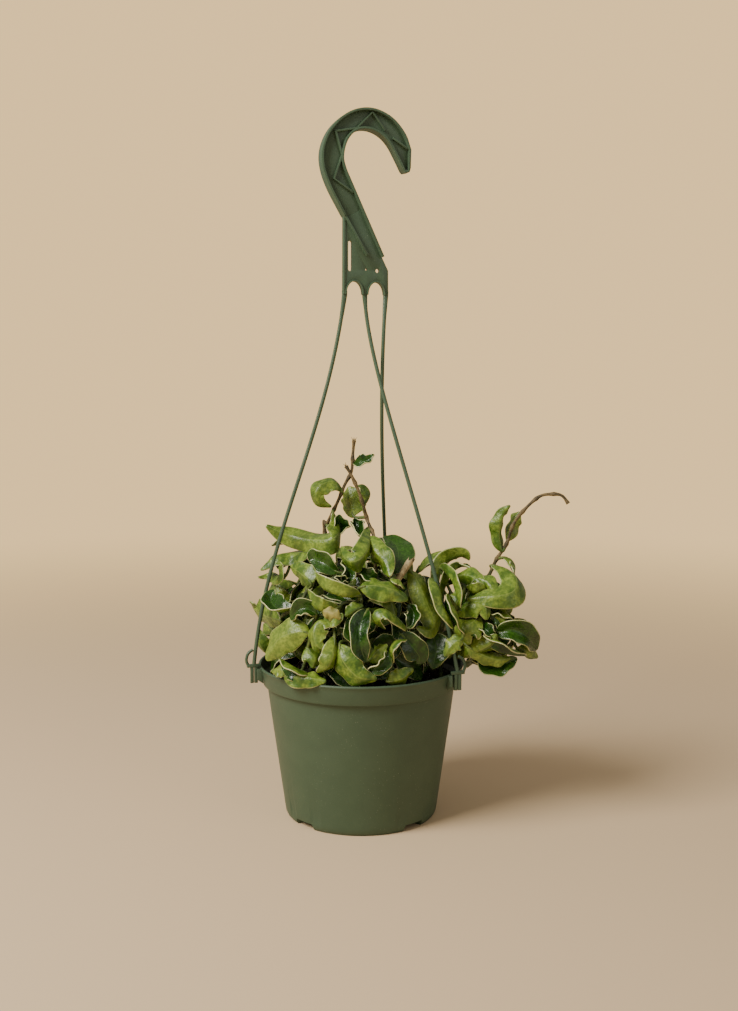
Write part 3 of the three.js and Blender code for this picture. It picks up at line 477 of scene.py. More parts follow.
def spin_profile(shape, profile, steps):
    verts = [shape.verts.new((radius, 0, height)) for radius, height in profile]
    edges = [shape.edges.new(pair) for pair in zip(verts, verts[1:])]
    bmesh.ops.spin(
        shape, geom=verts + edges, cent=(0, 0, 0), axis=(0, 0, 1), dvec=(0, 0, 0),
        angle=math.tau, steps=steps, use_merge=True, use_duplicate=False)
    bmesh.ops.remove_doubles(shape, verts=shape.verts, dist=1e-6)


def turn_from(angle, degrees):
    """The signed turn from a direction in degrees to an angle, in radians."""
    return (angle - math.radians(degrees) + math.pi) % math.tau - math.pi


def press_foot(shape):
    """Lifts the foot ring at the notches and presses the recesses in beside them."""
    half_notch = NOTCH_WIDTH / 2 / BASE_RADIUS
    recess_far = half_notch + RECESS_WIDTH / BASE_RADIUS
    for vert in shape.verts:
        radius = math.hypot(vert.co.x, vert.co.y)
        if radius < FOOT_INNER - 1e-5 or vert.co.z > RECESS_TOP:
            continue
        angle = math.atan2(vert.co.y, vert.co.x)
        off = min(abs(turn_from(angle, notch)) for notch in NOTCH_ANGLES)
        if off < half_notch:
            vert.co.z = max(vert.co.z, NOTCH_HEIGHT)
        elif off < recess_far and radius > RECESS_RADIUS:
            vert.co.xy *= RECESS_RADIUS / radius


wall = bmesh.new()
spin_profile(wall, pot_profile(), POT_STEPS)
press_foot(wall)
bmesh.ops.recalc_face_normals(wall, faces=wall.faces)
print("wall", len(wall.faces), "faces")

# %% Cheeks on the rim
LUG_ANGLES = {"left": 195, "right": 329, "back": 75}
LUG_REACH = 80.4 * MM
CHEEK_THICK = 1.8 * MM
CHEEK_OFFSET = 4.6 * MM
CHEEK_BITE = 1.5 * MM
CHEEK_SINK = 0.2 * MM
CHEEK_OUTER_HEIGHT = 8 * MM
CHEEK_INNER_HEIGHT = 11 * MM
CHEEK_ROUNDING = 0.35 * MM


def add_cheeks(shape):
    """The pairs of small blocks on the rim that the wires' ends hang between."""
    for degrees in LUG_ANGLES.values():
        turn = Matrix.Rotation(math.radians(degrees), 3, "Z")
        for side in (-1, 1):
            block = bmesh.ops.create_cube(shape, size=1.0)["verts"]
            for vert in block:
                outer = vert.co.x > 0
                height = CHEEK_OUTER_HEIGHT if outer else CHEEK_INNER_HEIGHT
                drop = 0.0 if vert.co.z > 0 else height
                reach = LUG_REACH if outer else RIM_RADIUS - CHEEK_BITE
                offset = side * CHEEK_OFFSET + vert.co.y * CHEEK_THICK
                vert.co = (reach, offset, POT_HEIGHT - CHEEK_SINK - drop)
            corners = round_edges(shape, edges_of(block), CHEEK_ROUNDING)
            bmesh.ops.rotate(shape, verts=corners, cent=(0, 0, 0), matrix=turn)


add_cheeks(wall)
pot = finish_piece("pot_wall", wall, [pot_plastic], ["pot"], 32)

# %% Drain holes
DRAIN_RADIUS = 4 * MM
DRAIN_CIRCLE = 34 * MM
DRAIN_COUNT = 6
DRILL_MIDDLE = 4 * MM
DRILL_LENGTH = 20 * MM


def cut_drains(piece):
    holes = bmesh.new()
    for i in range(DRAIN_COUNT):
        angle = math.radians((i + 0.5) * 360 / DRAIN_COUNT)
        spot = (DRAIN_CIRCLE * math.cos(angle), DRAIN_CIRCLE * math.sin(angle), DRILL_MIDDLE)
        bmesh.ops.create_cone(
            holes, cap_ends=True, segments=24, radius1=DRAIN_RADIUS, radius2=DRAIN_RADIUS,
            depth=DRILL_LENGTH, matrix=Matrix.Translation(spot))
    drills = add_object("drills", to_mesh("drills", holes))
    cut = piece.modifiers.new("drains", "BOOLEAN")
    cut.operation = "DIFFERENCE"
    cut.object = drills
    cut.solver = "EXACT"
    ready = piece.evaluated_get(bpy.context.evaluated_depsgraph_get())
    piece.data = bpy.data.meshes.new_from_object(ready)
    piece.modifiers.clear()
    bpy.data.objects.remove(drills)
    print("drain holes cut,", len(piece.data.polygons), "faces")


cut_drains(pot)

# %% [markdown]
# ## Hook
# The hanger is one flat moulding. Its hook is a thin web with a tall rim round it
# and slim braces across, and it runs down into a plate with a slot, two pin holes
# and two arches, where the wires start. Each of these is a flat outline, so each is
# filled, extruded to its depth and given rounded edges, and all are one piece.

# %% Hook sizes
HANGER_TURN = 17
HANGER_YAW = math.radians(HANGER_TURN)
HOOK_DEPTH = 10.0
HOOK_WALL = 1.8
HOOK_WEB = 3.0
HOOK_OUTER = [
    (37.3, 494.8), (33.1, 505.5), (24.5, 515.6), (14, 521.3), (3.5, 522.8), (-7.5, 520.2),
    (-17.6, 513.6), (-25.6, 504), (-30.1, 491.4), (-29.4, 478.8), (-24.2, 464.9), (-13.4, 445.7),
]
HOOK_INNER = [
    (31.2, 479.6), (26.5, 488.5), (21.3, 497.3), (15.6, 503.2), (8.6, 506.8), (1, 507.6),
    (-5.6, 505.2), (-11, 498.6), (-13.6, 488.5), (-12.2, 480.4), (-7.1, 468.9), (-1.9, 457.8),
]
TIP = [(32.7, 478.2), (36.1, 478.9), (36.9, 481.8)]
WEB_TIP = (34.5, 481)
BRACE_WIDTH = 1.6
BRACE_DEPTH = 8.0
BRACE_LINES = [
    [(35.5, 496.1), (23.9, 503.1)],
    [(18.3, 508), (8.1, 520.7), (-4.1, 508.7), (-20.6, 505.9)],
    [(-20.6, 505.9), (-15.4, 488.9), (-21.5, 471.6), (-6.9, 462.1)],
]
RIB_FOOT = (3.4, 417.9)
RIB_DEPTH = 8.8
SHANK_FOOT = (16.8, 417.7)
print("hook", HOOK_OUTER[4][1], "mm up to its top")

# %% Plate sizes
PLATE_THICK = 3.4
PLATE_BOTTOM = 390.0
PLATE_LEFT = -13.7
PLATE_RIGHT = 20.7
PLATE_RIGHT_SIDE = [(PLATE_RIGHT, PLATE_BOTTOM), (PLATE_RIGHT - 0.1, 407.6), (16, 416.9), (0, 451)]
PLATE_ROUNDING = 0.15
PLATE_RIM_DEPTH = 4.8
ARCHES = [(-5.2, 6.2, 399.5), (11.4, 6.1, 399.0)]
ARCH_RIM = 1.1
ARCH_DEPTH = 5.6
SLOT_MIDDLE = -8.5
SLOT_HALF = 1.45
SLOT_BOTTOM = 406.8
SLOT_TOP = 428.6
PIN_HOLES = [(3.9, 408.1, 0.8), (12.4, 407.4, 1.5)]
print("plate", PLATE_RIGHT - PLATE_LEFT, "mm wide")


# %% Route through points
def on_route(points, t):
    """A point on the smooth route through points, at a fraction t of its spans."""
    spans = len(points) - 1
    span = min(int(t * spans), spans - 1)
    s = t * spans - span

    def at(i):
        if i < 0:
            return 2 * points[0] - points[1]
        if i > spans:
            return 2 * points[spans] - points[spans - 1]
        return points[i]

    return (
        at(span - 1) * (-0.5 * s + s * s - 0.5 * s ** 3)
        + at(span) * (1 - 2.5 * s * s + 1.5 * s ** 3)
        + at(span + 1) * (0.5 * s + 2 * s * s - 1.5 * s ** 3)
        + at(span + 2) * (-0.5 * s * s + 0.5 * s ** 3)
    )


def smooth_line(points, count):
    knots = [np.array(point, float) for point in points]
    return [on_route(knots, i / count) for i in range(count + 1)]


print("route helpers ready")


# %% Outlines
def shifted(line, distance):
    """The line moved to its left."""
    moved = []
    for i, point in enumerate(line):
        along = line[min(i + 1, len(line) - 1)] - line[max(i - 1, 0)]
        along = along / np.linalg.norm(along)
        moved.append(point + np.array([-along[1], along[0]]) * distance)
    return moved


def strip(line, width):
    line = [np.array(point, float) for point in line]
    return line + shifted(line, width)[::-1]


def arc_points(middle_u, middle_z, half, rise, start, end, count):
    turns = [math.radians(start + (end - start) * i / count) for i in range(count + 1)]
    return [(middle_u + half * math.cos(t), middle_z + rise * math.sin(t)) for t in turns]


def arch_points(arch, count):
    middle, half, top = arch
    return arc_points(middle, PLATE_BOTTOM, half, top - PLATE_BOTTOM, 180, 0, count)


def plate_outline():
    arches = [point for arch in ARCHES for point in arch_points(arch, 14)]
    left_side = [(PLATE_LEFT + 1, HOOK_OUTER[-1][1] - 1.5), (PLATE_LEFT, PLATE_BOTTOM)]
    return [*left_side, *arches, *PLATE_RIGHT_SIDE]


def plate_holes():
    slot = arc_points(SLOT_MIDDLE, SLOT_BOTTOM + SLOT_HALF, SLOT_HALF, SLOT_HALF, 180, 360, 10)
    slot += arc_points(SLOT_MIDDLE, SLOT_TOP - SLOT_HALF, SLOT_HALF, SLOT_HALF, 0, 180, 10)
    pins = [arc_points(u, z, r, r, 0, 345, 23) for u, z, r in PIN_HOLES]
    return [slot, *pins]


print("plate outline of", len(plate_outline()), "points")


# %% Flat mouldings
def add_slab(shape, outline, depth, holes=(), rounding=0.35):
    """Fills an outline drawn in u and z, extrudes it and rounds its edges, in mm."""
    slab = bmesh.new()
    edges = []
    for loop in (outline, *holes):
        verts = [slab.verts.new((u, -depth / 2, z)) for u, z in loop]
        edges += [slab.edges.new((a, b)) for a, b in zip(verts, verts[1:] + verts[:1])]
    bmesh.ops.triangle_fill(
        slab, use_beauty=True, use_dissolve=False, edges=edges, normal=(0, -1, 0))
    grown = bmesh.ops.extrude_face_region(slab, geom=slab.faces[:])["geom"]
    lifted = [item for item in grown if isinstance(item, bmesh.types.BMVert)]
    bmesh.ops.translate(slab, verts=lifted, vec=(0, depth, 0))
    bmesh.ops.recalc_face_normals(slab, faces=slab.faces)
    bmesh.ops.dissolve_limit(slab, angle_limit=0.01, verts=slab.verts, edges=slab.edges)
    rims = [edge for edge in slab.edges if edge.is_valid and len(edge.link_faces) == 2
            and edge.calc_face_angle(0) > 1.4
            and abs(edge.verts[0].co.y - edge.verts[1].co.y) < 1e-4]
    round_edges(slab, rims, rounding)
    mesh = to_mesh("slab", slab)
    shape.from_mesh(mesh)
    bpy.data.meshes.remove(mesh)


def make_hook():
    outer = smooth_line(HOOK_OUTER, 66)
    inner = smooth_line(HOOK_INNER, 60)[::-1]
    shoulder = HOOK_OUTER[-1]
    inset = HOOK_WALL / 2
    web = [
        *shifted(outer, inset), (RIB_FOOT[0], SHANK_FOOT[1] + 4),
        (SHANK_FOOT[0] - 2, SHANK_FOOT[1] + 2), *shifted(inner, inset), WEB_TIP,
    ]
    strips = [
        ([SHANK_FOOT, *inner, *TIP, *outer], HOOK_WALL, HOOK_DEPTH),
        ([shoulder, RIB_FOOT], HOOK_WALL, RIB_DEPTH),
        *((arch_points(arch, 18), ARCH_RIM, ARCH_DEPTH) for arch in ARCHES),
        ([shoulder, (PLATE_LEFT, PLATE_BOTTOM)], BRACE_WIDTH, PLATE_RIM_DEPTH),
        *((line, BRACE_WIDTH, BRACE_DEPTH) for line in BRACE_LINES),
    ]
    shape = bmesh.new()
    add_slab(shape, web, HOOK_WEB)
    add_slab(shape, plate_outline(), PLATE_THICK, plate_holes(), PLATE_ROUNDING)
    for line, width, depth in strips:
        add_slab(shape, strip(line, width), depth)
    to_metres(shape)
    turn = Matrix.Rotation(HANGER_YAW, 3, "Z")
    bmesh.ops.rotate(shape, verts=shape.verts, cent=(0, 0, 0), matrix=turn)
    return shape


# Painted light: the hanger's plastic is the pot's green painted a little lighter, for the light
# that falls on the front of the hook. The wires share it.
hanger_plastic = make_plastic(
    "hanger_plastic", (0.058, 0.100, 0.058, 1), (0.066, 0.112, 0.066, 1), 0.36)
keep_piece("hook", make_hook(), [hanger_plastic], ["hanger_hook"], 30)

# %% [markdown]
# ## Wires
# Each wire is a slim plastic rod of oval section that leaves the plate's foot,
# bows outward and comes down to its lug on the rim. There it ends in a short
# crossbar that rests on two cheeks, two prongs that hang between them, and a small
# loop of the same rod. A ring carried along the curve makes the rod and the loop.

# %% Wire curves
GAP = 0.3
WIRE_STARTS = {"left": -12.3, "right": 3.1, "back": 19.2}
WIRE_BENDS = {
    "left": {"drop": 105, "out_top": 14, "rise": 99, "in_foot": 10},
    "right": {"drop": 56, "out_top": 2, "rise": 105, "in_foot": 24},
    "back": {"drop": 109, "out_top": -28, "rise": 92, "in_foot": 3},
}
WIRE_END = 82.0
CROSSBAR_SIZE = 2.4
POT_TOP = 116.0


def across_turn(degrees):
    return Vector((math.cos(math.radians(degrees)), math.sin(math.radians(degrees)), 0))


HANGER_WAY = across_turn(HANGER_TURN)


def wire_points(name, count):
    bend = WIRE_BENDS[name]
    out = across_turn(LUG_ANGLES[name])
    start = HANGER_WAY * WIRE_STARTS[name] + Vector((0, 0, PLATE_BOTTOM - GAP))
    foot = out * WIRE_END + Vector((0, 0, POT_TOP + GAP + CROSSBAR_SIZE / 2))
    upper = start + out * bend["out_top"] - Vector((0, 0, bend["drop"]))
    lower = foot - out * bend["in_foot"] + Vector((0, 0, bend["rise"]))
    points = []
    for i in range(count + 1):
        t = i / count
        points.append(
            start * (1 - t) ** 3 + upper * (3 * t * (1 - t) ** 2)
            + lower * (3 * t * t * (1 - t)) + foot * t ** 3)
    return points


for name in LUG_ANGLES:
    print("wire", name, "ends at", [round(v, 1) for v in wire_points(name, 2)[-1]], "mm")

# %% Wires with their ends
WIRE_WIDTH = 2.9
WIRE_THICK = 2.6
WIRE_SINK = 3.0
FLARE = 0.5
FLARE_POINTS = 5
CROSSBAR_LENGTH = 10.5
PRONG_WIDTH = 2.5
PRONG_THICK = 2.0
PRONG_GAP = 0.5
PRONG_LENGTH = 13.0
BAR_ROUNDING = 0.3
LOOP_HEIGHT = 11.0
LOOP_REACH = 5.6
LOOP_SPOTS = [(0.75, 0), (1, 0.4), (0.75, 0.85), (0.1, 1.1)]


def add_bar(shape, middle, sizes):
    """A bar with rounded edges, level with the hanger's plane, in mm."""
    block = bmesh.ops.create_cube(shape, size=1.0)["verts"]
    bmesh.ops.scale(shape, verts=block, vec=sizes)
    corners = round_edges(shape, edges_of(block), BAR_ROUNDING)
    turn = Matrix.Rotation(HANGER_YAW, 3, "Z")
    bmesh.ops.rotate(shape, verts=corners, cent=(0, 0, 0), matrix=turn)
    bmesh.ops.translate(shape, verts=corners, vec=middle)


def make_wire(name):
    shape = bmesh.new()
    route = wire_points(name, 72)
    route.insert(0, route[0] + Vector((0, 0, WIRE_SINK)))
    flare = [1.0 + FLARE * max(0.0, 1 - i / FLARE_POINTS) for i in range(len(route))]
    sweep(shape, route, [WIRE_WIDTH / 2 * f for f in flare], WIRE_THICK / 2, 12, HANGER_WAY)
    foot = route[-1]
    outward = -1 if HANGER_WAY.dot(across_turn(LUG_ANGLES[name])) < 0 else 1
    add_bar(shape, foot, (CROSSBAR_LENGTH, CROSSBAR_SIZE, CROSSBAR_SIZE))
    for side in (-1, 1):
        length = PRONG_LENGTH - side * outward
        place = foot + HANGER_WAY * (side * (PRONG_WIDTH + PRONG_GAP) / 2)
        place.z -= (PRONG_LENGTH + side * outward) / 2
        add_bar(shape, place, (PRONG_WIDTH, PRONG_THICK, length))
    knots = [foot + HANGER_WAY * (outward * reach * LOOP_REACH)
             + Vector((0, 0, height * LOOP_HEIGHT)) for reach, height in LOOP_SPOTS]
    sweep(shape, [Vector(point) for point in smooth_line(knots, 18)], 1.15, 1.1, 10)
    return to_metres(shape)


for name in LUG_ANGLES:
    finish_piece(f"wire_{name}", make_wire(name), [hanger_plastic],
                 [f"hanger_wire_{name}"], 50)

# %% [markdown]
# ## Soil
# The pot is filled with dark peat that stops some way under the rim and is crowned
# a little. Its top is a turned profile with a bumpy surface. Crumbs of bark and
# peat and white grains of perlite lie on it, each a small icosphere squashed and
# turned by its own random draw.

# %% Soil finish
def make_mottled(name, dark, light, roughness, tone, relief):
    """Two colours in blotches of one (scale, detail), over a skin with its own relief."""
    material, tree, shader = start_material(name, Roughness=roughness)
    blotch = place_group(tree, blotches, Scale=tone[0], Detail=tone[1])
    tree.links.new(mix_colours(tree, blotch, dark, light), shader.inputs["Base Color"])
    add_relief(tree, shader, *relief)
    return material


def make_soil_finish(name, dark, light, roughness, scale):
    relief = (scale * 2.2, 8.0, 0.0012, 0.9)
    return make_mottled(name, dark, light, roughness, (scale, 6.0), relief)


peat = make_soil_finish("peat", (0.006, 0.004, 0.003, 1), (0.030, 0.019, 0.012, 1), 0.95, 380.0)
bark = make_soil_finish("bark", (0.020, 0.011, 0.006, 1), (0.085, 0.050, 0.028, 1), 0.9, 300.0)
perlite = make_soil_finish("perlite", (0.50, 0.48, 0.43, 1), (0.80, 0.78, 0.73, 1), 0.85, 500.0)
print("soil finishes", peat.name, bark.name, perlite.name)

# %% Soil body
SOIL_EDGE = 103.5
SOIL_RISE = 3.0
SOIL_RADIUS = 70.6
SOIL_SIDE = [
    (0.0, 70.0), (60.0, 70.0), (66.4, 98.0), (68.6, 100.5), (SOIL_RADIUS, SOIL_EDGE - 0.4)]
SOIL_RINGS = 30


def soil_top(x, y):
    crown = SOIL_RISE * (1 - (x * x + y * y) / (77.5 * 77.5))
    return SOIL_EDGE + crown + 0.9 * math.sin(0.35 * x + 1) * math.cos(0.31 * y)


def make_soil():
    shape = bmesh.new()
    top = [(max(SOIL_RADIUS - 0.5 - 70.1 * i / SOIL_RINGS, 0.0), SOIL_EDGE)
           for i in range(SOIL_RINGS + 1)]
    spin_profile(shape, SOIL_SIDE + top, 120)
    draw = random.Random(5)
    for vert in shape.verts:
        if vert.co.z > SOIL_EDGE - 0.2:
            vert.co.z = soil_top(vert.co.x, vert.co.y) + draw.uniform(-0.5, 0.5)
    return to_metres(shape)


finish_piece("soil_body", make_soil(), [peat], ["soil"], 80)

# %% Crumbs and grains
CRUMBS = {
    "peat_crumbs": (900, 0.6, 1.9, 21, peat),
    "bark_crumbs": (220, 0.8, 2.4, 22, bark),
    "perlite_grains": (90, 0.6, 1.5, 23, perlite),
}


def scatter_crumbs(count, smallest, largest, seed):
    shape = bmesh.new()
    draw = random.Random(seed)
    for _ in range(count):
        reach = (SOIL_RADIUS - 3) * math.sqrt(draw.random())
        angle = draw.uniform(0, math.tau)
        x, y = reach * math.cos(angle), reach * math.sin(angle)
        size = draw.uniform(smallest, largest)
        crumb = bmesh.ops.create_icosphere(shape, subdivisions=1, radius=size)["verts"]
        bmesh.ops.scale(shape, verts=crumb, vec=[draw.uniform(0.6, 1.25) for _ in range(3)])
        for vert in crumb:
            vert.co *= draw.uniform(0.85, 1.15)
        turn = draw.uniform(0, math.tau)
        axis = Vector([draw.uniform(-1, 1) for _ in range(3)])
        bmesh.ops.rotate(
            shape, verts=crumb, cent=(0, 0, 0), matrix=Matrix.Rotation(turn, 3, axis))
        bmesh.ops.translate(shape, verts=crumb, vec=(x, y, soil_top(x, y) + 0.25 * size))
    return to_metres(shape)


for name, (count, smallest, largest, seed, finish) in CRUMBS.items():
    crumbs = scatter_crumbs(count, smallest, largest, seed)
    finish_piece(name, crumbs, [finish], (), 20)

# %% [markdown]
# ## Where the stems and leaves lie
# The leaves that show in front are given as they look from the camera: x and z on
# the upright plane through the pot's axis, and how far each point stands out of a
# rounded mound towards the camera. A vine is its mound, the place of its root, its
# stem and its leaves. A leaf is half its width, the turn of its upper face, the
# fold at its midrib, the curl of its halves and then its spine. The same numbers
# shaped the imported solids, so every fine leaf grows where its solid is.

# %% Vines in front
EYE = np.array([6.0, -916.0, 338.0])
MAIN_MOUND = (np.array([-6.0, 0.0, 112.0]), np.array([76.0, 70.0, 104.0]))
SIDE_MOUND = (np.array([95.0, -6.0, 150.0]), np.array([46.0, 34.0, 42.0]))
FRONT_VINES = {
    "vine_front_centre": (MAIN_MOUND, (8, -38), [
        (7, 112, -8), (-10, 128, -8), (-4, 148, -6), (8, 154, -6), (22, 148, -8), (34, 140, -4),
    ], [
        (10.5, -125, 25, 45, (34, 140, 1), (28, 149, 8), (19, 156, 10), (11, 154, 9),
         (10, 146, 7), (19, 140, 4)),
        (8, -30, 35, 70, (36, 141, 0), (40, 152, 2), (36, 160, 2)),
        (9, 10, 28, 50, (5, 155, 2), (-1, 142, 7), (0, 126, 8), (4, 114, 6)),
        (5.5, 20, 30, 55, (-3, 150, -2), (-8, 139, 2), (-4, 127, 2)),
        (6.5, 150, 25, 55, (6, 116, 0), (13, 124, 5), (20, 129, 4)),
        (7, 20, 35, 60, (6, 109, 2), (16, 114, 6), (20, 124, 4)),
        (11.5, -150, 22, 40, (-16, 129, 0), (-13, 115, 7), (-2, 103, 9), (13, 102, 6)),
    ]),
    "vine_front_left": (MAIN_MOUND, (-26, -38), [
        (-30, 112, -10), (-39, 126, -6), (-33, 150, -4), (-20, 147, -3), (-16, 136, -3),
    ], [
        (10.5, -110, 28, 50, (-19, 145, 0), (-31, 148, 5), (-36, 139, 8), (-34, 128, 8),
         (-26, 124, 5)),
        (9, 140, 25, 45, (-20, 135, 0), (-21, 121, 6), (-26, 110, 7), (-34, 107, 4)),
        (8.5, 165, 20, 45, (-41, 126, -2), (-35, 118, 2), (-37, 110, 2)),
        (8.5, 20, 30, 60, (-34, 152, 0), (-44, 156, 5), (-53, 147, 4)),
        (6.5, 170, 20, 40, (-27, 152, 2), (-21, 149, 7), (-13, 152, 5)),
    ]),
    "vine_front_right": (MAIN_MOUND, (38, -34), [
        (23, 103, -4), (30, 134, -2), (52, 138, -6),
    ], [
        (8.5, -60, 30, 60, (33, 132, 0), (25, 131, 4), (21, 124, 5), (25, 114, 3)),
        (9, -5, 12, 35, (30, 137, 2), (38, 128, 6), (44, 119, 6), (43, 113, 4)),
        (10.5, 5, 15, 40, (53, 136, -4), (57, 124, 2), (54, 109, 0)),
        (8.5, -150, 25, 55, (20, 100, 4), (31, 102, 7), (40, 110, 5)),
    ]),
    "vine_far_left": (MAIN_MOUND, (-48, -20), [
        (-52, 106, -8), (-44, 110, -6), (-39, 134, -2),
    ], [
        (13, -140, 18, 40, (-39, 136, 0), (-50, 138, 5), (-62, 133, 6), (-68, 124, 5),
         (-72, 116, 4)),
        (10, -30, 35, 60, (-41, 106, 0), (-51, 111, 5), (-62, 118, 4)),
        (6.5, -160, 22, 45, (-55, 108, 2), (-62, 110, 5), (-68, 108, 4)),
        (8, 160, 22, 45, (-58, 104, 4), (-42, 103, 7), (-26, 100, 4)),
    ]),
    "vine_centre": (MAIN_MOUND, (-8, -18), [
        (-15, 157, -8), (0, 160, -4), (0, 168, -6), (10, 180, -6), (-6, 182, -8), (-17, 185, -8),
    ], [
        (10, -10, 25, 60, (-17, 184, -6), (-26, 190, -2), (-35, 194, 0), (-39, 192, 0)),
        (8, 25, 35, 75, (-12, 174, -4), (-11, 184, 0), (-14, 193, 0)),
        (9, 0, 50, 105, (-17, 179, -4), (-19, 179, 5), (-20, 180, 11)),
        (10.5, 115, 28, 45, (-1, 166, 2), (-12, 165, 8), (-25, 169, 10), (-32, 176, 9),
         (-34, 183, 6)),
        (7, 15, 35, 70, (11, 178, -3), (5, 181, -1), (-2, 186, -2)),
        (10.5, 125, 25, 45, (-17, 157, 0), (-29, 154, 4), (-37, 160, 5), (-40, 171, 3)),
        (6, 150, 25, 50, (1, 158, 0), (-6, 154, 4), (-12, 150, 3)),
        (11, 155, 22, 45, (-1, 172, 4), (10, 174, 8), (25, 170, 10), (36, 162, 8)),
    ]),
    "vine_right_of_centre": (MAIN_MOUND, (30, -8), [
        (52, 150, -12), (41, 176, -8), (26, 172, -6), (28, 182, 0), (39, 194, 6),
    ], [
        (12.5, -15, 10, 28, (23, 182, 0), (28, 194, 2), (26, 205, 3), (16, 211, 0)),
        (10.5, 150, 22, 40, (36, 186, 2), (43, 176, 6), (50, 160, 8), (55, 147, 8),
         (52, 139, 8), (41, 142, 4)),
        (8.5, 35, 32, 60, (56, 147, -6), (55, 163, -2), (51, 174, -1), (48, 181, -4)),
        (6, 60, 30, 60, (23, 179, 6), (29, 178, 8), (33, 171, 8)),
    ]),
    "vine_top_right": (MAIN_MOUND, (12, 12), [
        (11, 191, -6), (10, 210, 2), (5, 223, 6), (2, 234, 8), (-2, 246, 8), (-7, 257, 8),
        (-11, 264, 7),
    ], [
        (11.5, 165, 12, 45, (-5, 226, -2), (-7, 235, -4), (-8, 243, -6), (-9, 249, -10)),
        (9, -110, 30, 50, (2, 233, 2), (6, 238, 0), (7, 244, -2), (2, 250, -4), (-4, 249, -6)),
        (9, 30, 35, 75, (0, 211, 2), (-3, 216, 4), (-4, 221, 5), (-5, 225, 5)),
        (10.5, 120, 30, 45, (6, 218, 8), (7, 206, 12), (1, 195, 15), (-7, 192, 14),
         (-13, 196, 10), (-15, 204, 6)),
        (10, -150, 28, 50, (6, 211, 8), (10, 201, 8), (18, 191, 8), (22, 180, 8)),
    ]),
    "vine_top_left": (MAIN_MOUND, (-14, 12), [
        (-27, 214, -8), (-25, 221, -2), (-17, 238, 2), (-12, 250, 4), (-7, 260, 5),
        (-6, 272, 4), (-5, 283, 4),
    ], [
        (6.5, -20, 35, 40, (-4, 267, 4), (0, 266, 8), (6, 268, 9), (10, 273, 8)),
        (9, -115, 30, 35, (-14, 245, 4), (-17, 251, 5), (-24, 253, 7), (-31, 249, 9),
         (-34, 242, 10), (-30, 236, 9), (-21, 233, 6)),
        (11.5, 125, 25, 45, (-21, 229, 6), (-16, 219, 8), (-19, 210, 10), (-33, 208, 10),
         (-50, 211, 8), (-62, 215, 6), (-72, 220, 4)),
        (9, 20, 35, 70, (-20, 211, 0), (-15, 216, 6), (-17, 223, 8), (-17, 228, 9)),
    ]),
    "vine_left": (MAIN_MOUND, (-38, 4), [
        (-60, 146, -22), (-48, 158, -12), (-38, 176, -8), (-38, 196, -6), (-60, 188, -8),
    ], [
        (11.5, -130, 22, 45, (-37, 198, 0), (-50, 199, 4), (-65, 196, 5), (-76, 185, 3)),
        (6.5, -120, 30, 60, (-58, 180, -10), (-68, 183, -8), (-78, 180, -6)),
        (6, -90, 30, 60, (-63, 191, 2), (-61, 182, 5), (-67, 175, 5)),
        (10, 165, 20, 45, (-37, 175, 0), (-44, 182, 3), (-53, 189, 4)),
        (10.5, 60, 30, 55, (-50, 157, -2), (-61, 154, 3), (-68, 162, 5), (-65, 171, 4)),
        (11, 150, 15, 40, (-61, 147, -16), (-73, 151, -16), (-80, 156, -10), (-82, 161, -6)),
    ]),
    "vine_right_lower": (SIDE_MOUND, (60, -14), [
        (64, 126, -10), (73, 148, -8), (90, 147, -8), (108, 142, -8), (114, 130, -6),
        (94, 118, -6),
    ], [
        (10, 140, 22, 45, (72, 152, 0), (82, 159, 5), (93, 158, 6), (95, 147, 4)),
        (12.5, -150, 18, 38, (90, 149, -2), (82, 144, 6), (77, 137, 8), (82, 128, 6)),
        (6.5, -20, 35, 60, (91, 143, -2), (96, 138, 3), (100, 133, 3)),
        (10, -140, 28, 50, (71, 119, 0), (85, 122, 6), (98, 129, 7), (103, 137, 5)),
        (9, -20, 30, 55, (114, 145, -6), (105, 150, -2), (97, 151, -2)),
        (11, 15, 30, 50, (103, 138, 0), (116, 140, 4), (127, 133, 5), (133, 124, 3)),
        (8.5, -150, 28, 55, (118, 126, 0), (126, 121, 5), (134, 118, 4)),
        (10, 10, 28, 50, (90, 116, 0), (103, 112, 4), (119, 118, 3)),
        (7, 170, 12, 30, (62, 135, 2), (69, 131, 7), (75, 125, 6)),
        (5, 170, 15, 40, (65, 131, 0), (67, 124, 4), (67, 118, 4)),
    ]),
    "vine_right_upper": (SIDE_MOUND, (54, 8), [
        (58, 152, -12), (60, 172, -8), (72, 176, -6), (88, 168, -6), (96, 181, 0),
        (102, 194, 0), (109, 205, 0), (114, 220, 0), (122, 231, 0), (133, 241, 0),
        (142, 243, 0), (150, 242, 0), (155, 236, 0),
    ], [
        (10.5, -120, 25, 45, (57, 167, -6), (62, 188, -2), (75, 196, 0), (82, 193, 0)),
        (8.5, -115, 35, 50, (65, 149, 0), (63, 158, 4), (63, 168, 6), (67, 181, 6),
         (75, 188, 4), (83, 187, 2)),
        (8.5, 150, 25, 45, (69, 179, -4), (78, 182, 0), (86, 179, 2), (92, 172, 2)),
        (7, 160, 25, 50, (94, 171, 0), (86, 169, 3), (79, 173, 2)),
        (7, 160, 28, 55, (78, 170, -2), (74, 164, 4), (70, 156, 5)),
        (12.5, 100, 22, 40, (98, 189, 2), (109, 187, 5), (117, 179, 8), (116, 170, 9),
         (105, 166, 9), (92, 165, 6), (79, 163, 4)),
        (8.5, 110, 22, 45, (107, 195, 0), (113, 194, -1), (116, 189, -2), (115, 183, -4)),
        (8.5, -150, 40, 50, (106, 200, 0), (104, 213, 2), (106, 226, 3), (112, 235, 2)),
        (7, 160, 30, 50, (110, 208, -2), (114, 222, -3), (119, 230, -4)),
        (10, -160, 20, 45, (99, 159, -6), (108, 156, -4), (116, 163, -6)),
    ]),
}
front_leaves = sum(len(leaves) for *_, leaves in FRONT_VINES.values())
